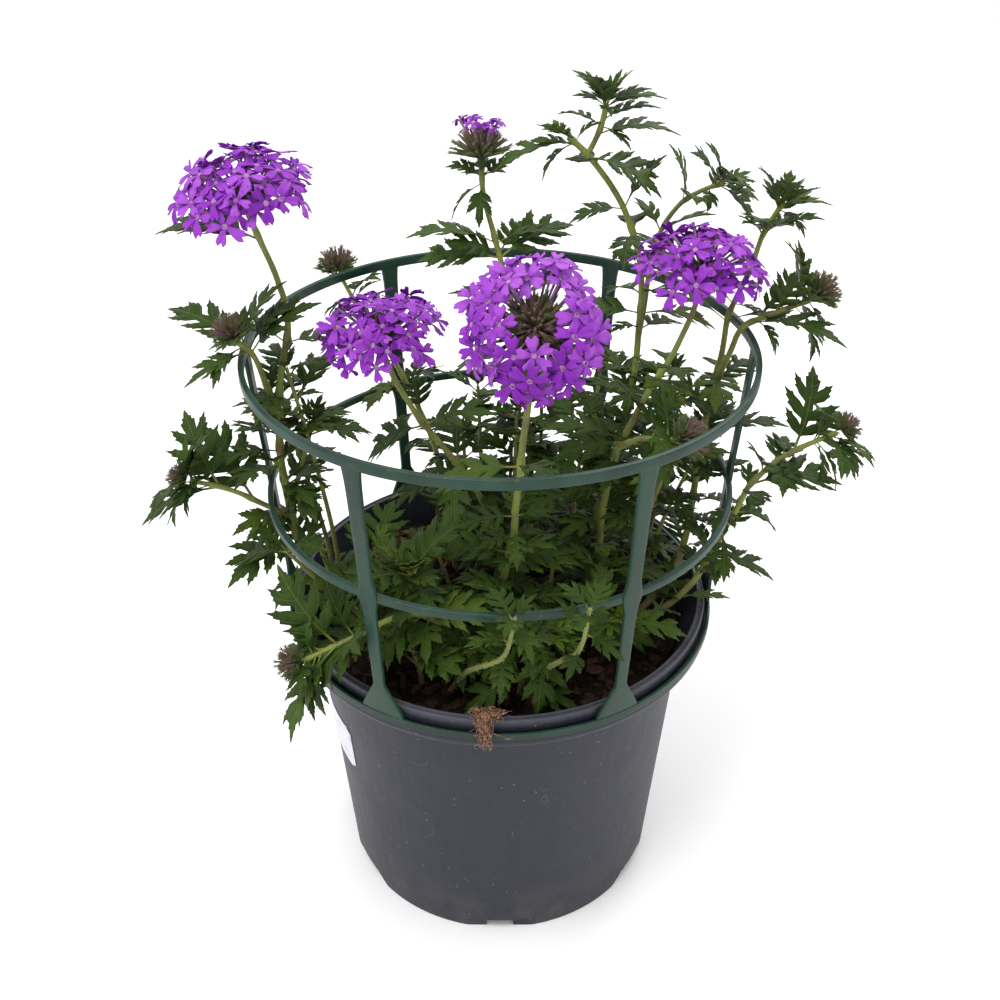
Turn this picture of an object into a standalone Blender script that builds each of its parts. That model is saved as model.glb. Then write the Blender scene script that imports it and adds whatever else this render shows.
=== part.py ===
"""A flowering verbena in its nursery pot, grown up through a moulded ring support.

Blender 4.5. Metres, +Z up. The origin is the middle of the pot's base, on the surface it stands on.
The plant's stems are given as routes through hand-chosen points; leaves, florets and calyx points
are placed along them by rule.
"""
import math

import bmesh
import bpy
from mathutils import Matrix, Vector
from mathutils.bvhtree import BVHTree

MM = 0.001

# ---- driving dimensions, in millimetres ----------------------------------------------------------
TURN_STEPS = 24             # facets round the pot, the soil and the rings
GAP = 0.3                   # between pieces that rest on each other

POT_HEIGHT = 152.5
RIM_RADIUS = 95.0           # a 19 cm nursery pot
RIM_WALL = 3.4
BASE_RADIUS = 76.0
WALL = 1.7
BAND_RADIUS = 97.4          # the shoulder under the rim that carries the support
SHOULDER_Z = 144.0
BAND_FOOT_Z = 133.5         # where the shoulder runs out into the plain wall
BAND_FOOT_RADIUS = 86.0
FLOOR_Z = 8.0               # underside of the pot's floor
PAD_RADIUS = 27.0           # the middle of the floor, pressed down to stand level with the foot
FOOT_WALL = 3.0
DRAINS = 6
DRAIN_WIDTH = 13.0
DRAIN_HEIGHT = 6.0
DRAIN_HOLE_RADIUS = 5.0
DRAIN_HOLE_ORBIT = 58.0

SOIL_Z = 137.0
SOIL_SWELL = 3.5            # height of the crumbs and hollows in the soil's surface
HOLE_DEPTH = 12.0
HOLE_CLEARANCE = 0.8

CAGE_RADIUS = 98.0          # outside of the support's collar
COLLAR_TOP = 147.7
COLLAR_SHEET = 1.4
MID_RING_Z = 210.5
MID_RING_RADIUS = 101.8
MID_RING_HEIGHT = 3.6
TOP_RING_Z = 275.2          # top of the top ring
TOP_RING_RADIUS = 107.5
TOP_RING_HEIGHT = 4.4
RING_THICKNESS = 2.4
UPRIGHTS = 6
UPRIGHT_WIDTH_TOP = 7.0
UPRIGHT_WIDTH_LOW = 5.2
FOOT_WIDTH = 20.0
FOOT_RISE = 15.0            # height of the flared foot of an upright

BLADE = 0.75                # thickness of a leaf blade
LEAF_BEND = 0.9             # turn of the blade from foot to tip, in radians
LONG_LEAF = 38.0            # a leaf longer than this has a third pair of lobes
LEAF_STEP = 2.5             # how far below its node on the stem a leaf springs
PETAL = 0.75                # thickness of a petal
PROBE = 2.2                 # thickness a leaf is tested at, to stand clear of its neighbours

# Shares of a flower head's own radius.
BLOOM_CORE = 0.28           # radius of the receptacle
BLOOM_CORE_RISE = 0.42      # its height
BLOOM_HEART = 0.25          # height of the point that the florets spread from
BLOOM_FLATTEN = 0.12        # how far the dome is pressed down
FLORET_ROOT = 0.08          # where a floret's tube starts
FLORET_SPREAD = 0.44        # radius of a floret's face
BUD_CORE = 0.85
BUD_CORE_RISE = 1.3
BUD_HEART = 0.5

FLORET_STAGGER = 1.6        # every other floret stands this much lower
TUBE_FOOT = 0.8
TUBE_MOUTH = 1.5
PETAL_NOTCH = 0.34          # radius between two petals, as a share of the floret's
CALYX_POINTS = 7
CALYX_FOOT = 1.3
CALYX_TIP = 0.45
GOLDEN_ANGLE = math.radians(137.508)


# ---- scene, materials and small helpers ----------------------------------------------------------
def clear_scene():
    for obj in list(bpy.data.objects):
        bpy.data.objects.remove(obj, do_unlink=True)


def new_collection(name):
    collection = bpy.data.collections.new(name)
    bpy.context.scene.collection.children.link(collection)
    return collection


def plain_material(name, colour, roughness):
    material = bpy.data.materials.new(name)
    material.use_nodes = True
    shader = material.node_tree.nodes["Principled BSDF"]
    shader.inputs["Base Color"].default_value = (*colour, 1.0)
    shader.inputs["Roughness"].default_value = roughness
    shader.inputs["Metallic"].default_value = 0.0
    material.diffuse_color = (*colour, 1.0)
    return material


clear_scene()
PARTS = new_collection("potted_verbena")
CUTTERS = new_collection("cutters")

POT_PLASTIC = plain_material("pot_plastic", (0.075, 0.075, 0.095), 0.5)
SOIL = plain_material("potting_soil", (0.018, 0.011, 0.007), 0.95)
CAGE_PLASTIC = plain_material("support_plastic", (0.035, 0.085, 0.055), 0.4)
LABEL_PAPER = plain_material("label_film", (0.8, 0.8, 0.82), 0.45)
COIR = plain_material("coir_fibre", (0.35, 0.16, 0.07), 0.9)
FOLIAGE = plain_material("leaf_green", (0.035, 0.095, 0.02), 0.55)
PETALS = plain_material("petal_purple", (0.32, 0.05, 0.62), 0.6)
CALYX = plain_material("calyx_purple_green", (0.12, 0.09, 0.06), 0.7)


def add_object(name, mesh, material=None, collection=PARTS):
    obj = bpy.data.objects.new(name, mesh)
    collection.objects.link(obj)
    if material:
        obj.data.materials.clear()
        obj.data.materials.append(material)
    return obj


def cutter(name, mesh):
    obj = add_object(name, mesh, collection=CUTTERS)
    obj.hide_render = True
    obj.display_type = "WIRE"
    return obj


def mesh_from_bmesh(name, bm):
    mesh = bpy.data.meshes.new(name)
    bm.to_mesh(mesh)
    bm.free()
    return mesh


def evaluated_mesh(obj):
    graph = bpy.context.evaluated_depsgraph_get()
    return bpy.data.meshes.new_from_object(obj.evaluated_get(graph))


def settle(obj):
    """Apply the object's modifiers, so that its mesh is final."""
    mesh = evaluated_mesh(obj)
    obj.modifiers.clear()
    obj.data = mesh
    return obj


def turned(name, profile, material=None, steps=TURN_STEPS, closed=False):
    """A profile of (radius, height) points in millimetres, turned about Z."""
    bm = bmesh.new()
    points = [bm.verts.new((r * MM, 0.0, z * MM)) for r, z in profile]
    for first, second in zip(points, points[1:]):
        bm.edges.new((first, second))
    if closed:
        bm.edges.new((points[-1], points[0]))
    obj = add_object(name, mesh_from_bmesh(name, bm), material)
    screw = obj.modifiers.new("turn", "SCREW")
    screw.axis = "Z"
    screw.steps = steps
    screw.render_steps = steps
    screw.use_merge_vertices = True
    screw.merge_threshold = 0.00001
    screw.use_smooth_shade = False
    return obj


def combine(obj, operands, operation, solver="EXACT"):
    """One Boolean of obj with every object of the list, applied; the operands are then removed."""
    bag = bpy.data.collections.new("operands")
    bpy.context.scene.collection.children.link(bag)
    for operand in operands:
        bag.objects.link(operand)
    boolean = obj.modifiers.new("combine", "BOOLEAN")
    boolean.operation = operation
    boolean.operand_type = "COLLECTION"
    boolean.collection = bag
    boolean.solver = solver
    settle(obj)
    for operand in list(bag.objects):
        bpy.data.objects.remove(operand, do_unlink=True)
    bpy.data.collections.remove(bag)
    return obj


def box_mesh(name, size, place, turn=0.0):
    """A box of the given size, its middle at place, then turned about the world's Z axis."""
    bm = bmesh.new()
    bmesh.ops.create_cube(bm, size=1.0)
    matrix = (
        Matrix.Rotation(turn, 4, "Z")
        @ Matrix.Translation(Vector(place) * MM)
        @ Matrix.Diagonal((*(Vector(size) * MM), 1.0))
    )
    bmesh.ops.transform(bm, matrix=matrix, verts=bm.verts)
    return mesh_from_bmesh(name, bm)


def polar(radius, angle, z):
    return Vector((radius * math.cos(angle), radius * math.sin(angle), z))


def wall_radius(z):
    """Outside radius of the pot's plain wall at a height."""
    return BASE_RADIUS + (BAND_FOOT_RADIUS - BASE_RADIUS) * z / BAND_FOOT_Z


# ---- the pot -------------------------------------------------------------------------------------
def make_pot():
    floor_top = FLOOR_Z + WALL
    inner_rim = RIM_RADIUS - RIM_WALL
    profile = [
        (0.0, WALL),
        (PAD_RADIUS - 1.0, WALL),
        (PAD_RADIUS + 7.0, floor_top),
        (wall_radius(floor_top) - WALL, floor_top),
        (BAND_FOOT_RADIUS - WALL, BAND_FOOT_Z),
        (inner_rim, POT_HEIGHT),
        (RIM_RADIUS - 0.8, POT_HEIGHT),
        (RIM_RADIUS, POT_HEIGHT - 0.8),
        (RIM_RADIUS, POT_HEIGHT - 6.0),
        (RIM_RADIUS - 0.8, SHOULDER_Z),
        (BAND_RADIUS, SHOULDER_Z),
        (BAND_RADIUS - 1.6, SHOULDER_Z - 5.0),
        (BAND_FOOT_RADIUS, BAND_FOOT_Z),
        (BASE_RADIUS, 0.0),
        (BASE_RADIUS - FOOT_WALL, 0.0),
        (BASE_RADIUS - FOOT_WALL, FLOOR_Z),
        (PAD_RADIUS + 8.0, FLOOR_Z),
        (PAD_RADIUS, 0.0),
        (0.0, 0.0),
    ]
    pot = turned("pot", profile, POT_PLASTIC)
    settle(pot)
    cuts = []
    for i in range(DRAINS):
        turn = math.radians(30.0 + 360.0 / DRAINS * i)
        slot = (14.0, DRAIN_WIDTH, DRAIN_HEIGHT + 2.0)
        slot_place = (BASE_RADIUS - 1.0, 0.0, DRAIN_HEIGHT / 2.0 - 1.0)
        cuts.append(cutter("drain_slot", box_mesh("drain_slot", slot, slot_place, turn)))
        recess = (4.0, 2.6 * DRAIN_WIDTH, DRAIN_HEIGHT + 1.0)
        recess_place = (BASE_RADIUS + 0.2, 0.0, DRAIN_HEIGHT / 2.0 - 1.0)
        cuts.append(cutter("drain_recess", box_mesh("drain_recess", recess, recess_place, turn)))
        bm = bmesh.new()
        bmesh.ops.create_cone(
            bm, cap_ends=True, segments=8, depth=8.0 * MM,
            radius1=DRAIN_HOLE_RADIUS * MM, radius2=DRAIN_HOLE_RADIUS * MM,
            matrix=Matrix.Translation(polar(DRAIN_HOLE_ORBIT, turn, FLOOR_Z + 1.0) * MM),
        )
        cuts.append(cutter("drain_hole", mesh_from_bmesh("drain_hole", bm)))
    return combine(pot, cuts, "DIFFERENCE")


# ---- the soil ------------------------------------------------------------------------------------
def soil_height(x, y):
    """Height in millimetres of the soil's surface: bark lumps and hollows, banked up on the left."""
    waves = (
        math.sin(0.17 * x + 1.3) * math.cos(0.21 * y + 0.4)
        + 0.6 * math.sin(0.37 * x - 0.29 * y)
        + 0.4 * math.cos(0.47 * y + 0.11 * x)
    )
    bank = 5.0 * math.exp(-((x + 62.0) ** 2 + (y - 22.0) ** 2) / 700.0)
    return SOIL_Z + SOIL_SWELL * 0.5 * waves + bank


def make_soil(hole_places):
    bottom = FLOOR_Z + WALL + GAP
    wall_at_top = (BAND_FOOT_RADIUS - WALL) - GAP
    wall_at_bottom = wall_radius(bottom) - WALL - GAP
    rings = [0.0, 20.0, 40.0, 58.0, 75.0, wall_at_top]
    profile = [(r, SOIL_Z) for r in rings]
    profile += [(wall_at_top, BAND_FOOT_Z), (wall_at_bottom, bottom), (0.0, bottom)]
    soil = settle(turned("soil", profile, SOIL))
    for vertex in soil.data.vertices:
        if vertex.co.z > (SOIL_Z - 0.5) * MM:
            x, y = vertex.co.x / MM, vertex.co.y / MM
            edge = min(1.0, (wall_at_top - math.hypot(x, y)) / 6.0)
            vertex.co.z = (SOIL_Z + (soil_height(x, y) - SOIL_Z) * max(edge, 0.0)) * MM
    holes = []
    for x, y, radius in hole_places:
        bm = bmesh.new()
        size = (radius + HOLE_CLEARANCE) * MM
        middle = Vector((x, y, SOIL_Z)) * MM
        bmesh.ops.create_cone(
            bm, cap_ends=True, segments=6, depth=2.0 * HOLE_DEPTH * MM,
            radius1=size, radius2=size, matrix=Matrix.Translation(middle),
        )
        holes.append(cutter("stem_hole", mesh_from_bmesh("stem_hole", bm)))
    return combine(soil, holes, "DIFFERENCE")


# ---- the ring support ----------------------------------------------------------------------------
def cage_radius(z):
    """Radius of the uprights' outer face at a height: they lean out from collar to top ring."""
    return CAGE_RADIUS + (TOP_RING_RADIUS - CAGE_RADIUS) * (z - COLLAR_TOP) / (TOP_RING_Z - COLLAR_TOP)


def ring(name, outer, top, height):
    inner = outer - RING_THICKNESS
    profile = [(inner, top), (outer, top), (outer, top - height), (inner, top - height)]
    return settle(turned(name, profile, CAGE_PLASTIC, closed=True))


def upright(angle):
    """A flat strip from the collar to the top ring, flared into a foot on the collar's lip."""
    low = COLLAR_TOP - 1.5
    neck = COLLAR_TOP + FOOT_RISE
    high = TOP_RING_Z - 1.0
    outline = [
        (low, FOOT_WIDTH / 2.0 + 0.6),
        (COLLAR_TOP + 0.8, FOOT_WIDTH / 2.0),
        (neck, UPRIGHT_WIDTH_LOW / 2.0),
        (MID_RING_Z - 8.0, UPRIGHT_WIDTH_LOW / 2.0 + 0.3),
        (MID_RING_Z, UPRIGHT_WIDTH_LOW / 2.0 + 1.8),
        (MID_RING_Z + 8.0, UPRIGHT_WIDTH_LOW / 2.0 + 0.5),
        (TOP_RING_Z - 9.0, UPRIGHT_WIDTH_TOP / 2.0),
        (high, UPRIGHT_WIDTH_TOP / 2.0 + 2.0),
    ]
    bm = bmesh.new()
    rows = []
    inset = 0.25            # the strips stand a little inside the rings' outer faces
    for z, half in outline:
        row = []
        for side in (-half, half):
            reach = cage_radius(z) - inset
            row.append(bm.verts.new((math.sqrt(reach ** 2 - side ** 2) * MM, side * MM, z * MM)))
        rows.append(row)
    for (a, b), (c, d) in zip(rows, rows[1:]):
        bm.faces.new((a, b, d))
        bm.faces.new((a, d, c))
    bmesh.ops.rotate(bm, verts=bm.verts, matrix=Matrix.Rotation(angle, 3, "Z"))
    strip = add_object("upright", mesh_from_bmesh("upright", bm))
    solid = strip.modifiers.new("thickness", "SOLIDIFY")
    solid.thickness = (RING_THICKNESS - 0.6) * MM
    solid.offset = -1.0
    return settle(strip)


def make_cage():
    floor_top = SHOULDER_Z + GAP + COLLAR_SHEET
    inner = RIM_RADIUS + GAP
    lip = CAGE_RADIUS - 1.5
    profile = [
        (inner, floor_top), (lip, floor_top), (lip, COLLAR_TOP), (CAGE_RADIUS, COLLAR_TOP),
        (CAGE_RADIUS, SHOULDER_Z + GAP), (inner, SHOULDER_Z + GAP),
    ]
    cage = settle(turned("ring_support", profile, CAGE_PLASTIC, closed=True))
    pieces = [
        ring("mid_ring", MID_RING_RADIUS, MID_RING_Z + MID_RING_HEIGHT / 2.0, MID_RING_HEIGHT),
        ring("top_ring", TOP_RING_RADIUS, TOP_RING_Z, TOP_RING_HEIGHT),
    ]
    pieces += [upright(math.radians(360.0 / UPRIGHTS * i)) for i in range(UPRIGHTS)]
    return combine(cage, pieces, "UNION")


# ---- the label and the coir tuft -----------------------------------------------------------------
def make_label():
    """A blank film label round the left of the wall."""
    low, high = 76.5, 102.0
    first, last, columns = math.radians(188.0), math.radians(214.5), 4
    bm = bmesh.new()
    rows = []
    for z in (low, high):
        reach = wall_radius(z) + GAP
        angles = [first + (last - first) * i / columns for i in range(columns + 1)]
        rows.append([bm.verts.new(polar(reach, a, z) * MM) for a in angles])
    for i in range(columns):
        bm.faces.new((rows[0][i], rows[0][i + 1], rows[1][i + 1], rows[1][i]))
    label = add_object("label", mesh_from_bmesh("label", bm), LABEL_PAPER)
    solid = label.modifiers.new("thickness", "SOLIDIFY")
    solid.thickness = 0.35 * MM
    solid.offset = 1.0
    return settle(label)


def make_coir():
    """A tuft of coconut fibres from the soil, lying over the rim and down in front of the collar."""
    path = [(86.5, 147.5), (91.0, 155.0), (95.2, 154.2), (99.6, 148.5)]
    fibres = 3
    middle = math.radians(-93.5)
    pieces = []
    for i in range(fibres):
        across = middle + math.radians(1.9) * (i - (fibres - 1) / 2.0)
        spread = math.radians(0.5) * math.sin(2.7 * i)
        route = []
        for k, (radius, z) in enumerate(path):
            drift = spread * (k - 2) + math.radians(0.35) * math.sin(1.9 * k + i)
            route.append(polar(radius, across + drift, z))
        route.append(route[-1] + Vector((2.0 * spread * radius, 0.0, -9.0 - 2.0 * (i % 3))))
        pieces.append(tube("fibre", route, [0.6] * len(route)))
    width = math.radians(4.6)
    ends = (middle - width, middle, middle + width)
    knot = [polar(93.6, angle, 154.6) for angle in ends]
    tuft = tube("coir_tuft", knot, [1.1, 1.5, 1.1], COIR)
    return combine(tuft, pieces, "UNION")


# ---- stems ---------------------------------------------------------------------------------------
def smooth_route(points, spacing=17.0):
    """Points every spacing or so along a Catmull-Rom curve through the route's own points."""
    ends = [2.0 * points[0] - points[1], *points, 2.0 * points[-1] - points[-2]]
    out = []
    for p0, p1, p2, p3 in zip(ends, ends[1:], ends[2:], ends[3:]):
        steps = max(1, round((p2 - p1).length / spacing))
        for i in range(steps):
            t = i / steps
            out.append(0.5 * (
                2.0 * p1 + (p2 - p0) * t
                + (2.0 * p0 - 5.0 * p1 + 4.0 * p2 - p3) * t * t
                + (3.0 * p1 - p0 - 3.0 * p2 + p3) * t ** 3
            ))
    out.append(points[-1].copy())
    return out


def tube(name, points, radii, material=None, collection=PARTS):
    """A four-angled tube through points in millimetres, as a curve made into a closed mesh."""
    curve = bpy.data.curves.new(name, "CURVE")
    curve.dimensions = "3D"
    curve.bevel_depth = MM
    curve.bevel_resolution = 0
    curve.use_fill_caps = True
    spline = curve.splines.new("POLY")
    spline.points.add(len(points) - 1)
    for point, co, radius in zip(spline.points, points, radii):
        point.co = (*(co * MM), 1.0)
        point.radius = radius
    guide = bpy.data.objects.new(name, curve)
    CUTTERS.objects.link(guide)
    mesh = evaluated_mesh(guide)
    bpy.data.objects.remove(guide, do_unlink=True)
    bm = bmesh.new()
    bm.from_mesh(mesh)
    bmesh.ops.remove_doubles(bm, verts=bm.verts, dist=0.00001)
    bmesh.ops.recalc_face_normals(bm, faces=bm.faces)
    return add_object(name, mesh_from_bmesh(name, bm), material, collection)


def along(points, share):
    """Position and direction at a share of the way along a polyline."""
    lengths = [(b - a).length for a, b in zip(points, points[1:])]
    left = share * sum(lengths)
    for a, b, span in zip(points, points[1:], lengths):
        if left <= span or b is points[-1]:
            return a.lerp(b, min(left / span, 1.0)), (b - a).normalized()
        left -= span


# ---- leaves --------------------------------------------------------------------------------------
def leaf_surface(length, lobes, bend):
    """The middle surface of a lobed leaf, in millimetres: x out along the rib, y across, z up."""
    petiole = 0.17
    rows = []               # half widths of the blade at each sinus, and of the lobe after it

    def outline(t):
        return 0.33 * math.sin(math.pi * min(t ** 0.75, 1.0)) ** 0.8 + 0.02

    for k in range(lobes + 1):
        t = k / (lobes + 1.0)
        sinus = (petiole + (1.0 - petiole) * t, 0.30 * outline(t) + 0.012)
        tip_t = (k + 1.15) / (lobes + 1.0)
        tip = (petiole + (1.0 - petiole) * tip_t, outline((k + 0.7) / (lobes + 1.0)))
        rows.append((sinus, tip))

    def place(x, y):
        turn = bend * x
        reach = math.sin(turn) / bend
        drop = (1.0 - math.cos(turn)) / bend
        return Vector((reach, y, 0.22 * abs(y) - drop)) * length

    verts = [place(0.0, 0.024), place(0.0, -0.024)]
    faces = []
    last = (0, 1)
    for k, (sinus, tip) in enumerate(rows):
        left, right = len(verts), len(verts) + 1
        verts += [place(sinus[0], sinus[1]), place(sinus[0], -sinus[1])]
        faces += [(last[0], last[1], right), (last[0], right, left)]
        if k:
            lobe = rows[k - 1][1]
            verts += [place(*lobe), place(lobe[0], -lobe[1])]
            faces += [(last[0], left, left + 2), (last[1], left + 3, right)]
        last = (left, right)
    verts.append(place(1.0, 0.0))
    faces.append((last[0], last[1], len(verts) - 1))
    return verts, faces


def leaf_matrix(place, out, up):
    side = up.cross(out).normalized()
    lift = out.cross(side).normalized()
    return Matrix.Translation(place) @ Matrix((out, side, lift)).transposed().to_4x4()


def leaf_mesh(surface, matrix):
    verts, faces = surface
    bm = bmesh.new()
    points = [bm.verts.new((matrix @ v) * MM) for v in verts]
    for face in faces:
        bm.faces.new([points[i] for i in face])
    return mesh_from_bmesh("leaf", bm)


def solid_leaf(mesh, thickness):
    leaf = add_object("leaf", mesh)
    solid = leaf.modifiers.new("blade", "SOLIDIFY")
    solid.thickness = thickness * MM
    solid.offset = 0.0
    return settle(leaf)


def tree_of(mesh):
    corners = [tuple(v.co) for v in mesh.vertices]
    return BVHTree.FromPolygons(corners, [tuple(p.vertices) for p in mesh.polygons])


# A leaf that would meet another piece is swung round its stem, raised or lowered, in this order.
BENDS_CLEAR = [(0, 0), (14, 0), (-14, 0), (0, 14), (0, -14), (28, 8), (-28, 8), (28, -10), (-28, -10),
               (44, 0), (-44, 0), (0, 28), (0, -28), (44, 20), (-44, 20), (60, 0), (-60, 0)]
SHORTER = (1.0, 0.82)


def grow_leaf(place, along_stem, side, rise, length, obstacles):
    """A leaf from a point on a stem, bent clear of the obstacles, or None where there is no room."""
    lobes = 3 if length > LONG_LEAF else 2
    for scale in SHORTER:
        surface = leaf_surface(length * scale, lobes, LEAF_BEND)
        for swing, lift in BENDS_CLEAR:
            across = Matrix.Rotation(math.radians(swing), 3, along_stem) @ side
            angle = math.radians(rise + lift)
            out = (across * math.cos(angle) + along_stem * math.sin(angle)).normalized()
            up = along_stem * 0.6 + Vector((0.0, 0.0, 0.8))
            mesh = leaf_mesh(surface, leaf_matrix(place, out, up))
            probe = solid_leaf(mesh.copy(), PROBE)
            tree = tree_of(probe.data)
            bpy.data.objects.remove(probe, do_unlink=True)
            if not any(tree.overlap(other) for other in obstacles):
                return solid_leaf(mesh, BLADE)
    return None


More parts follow.
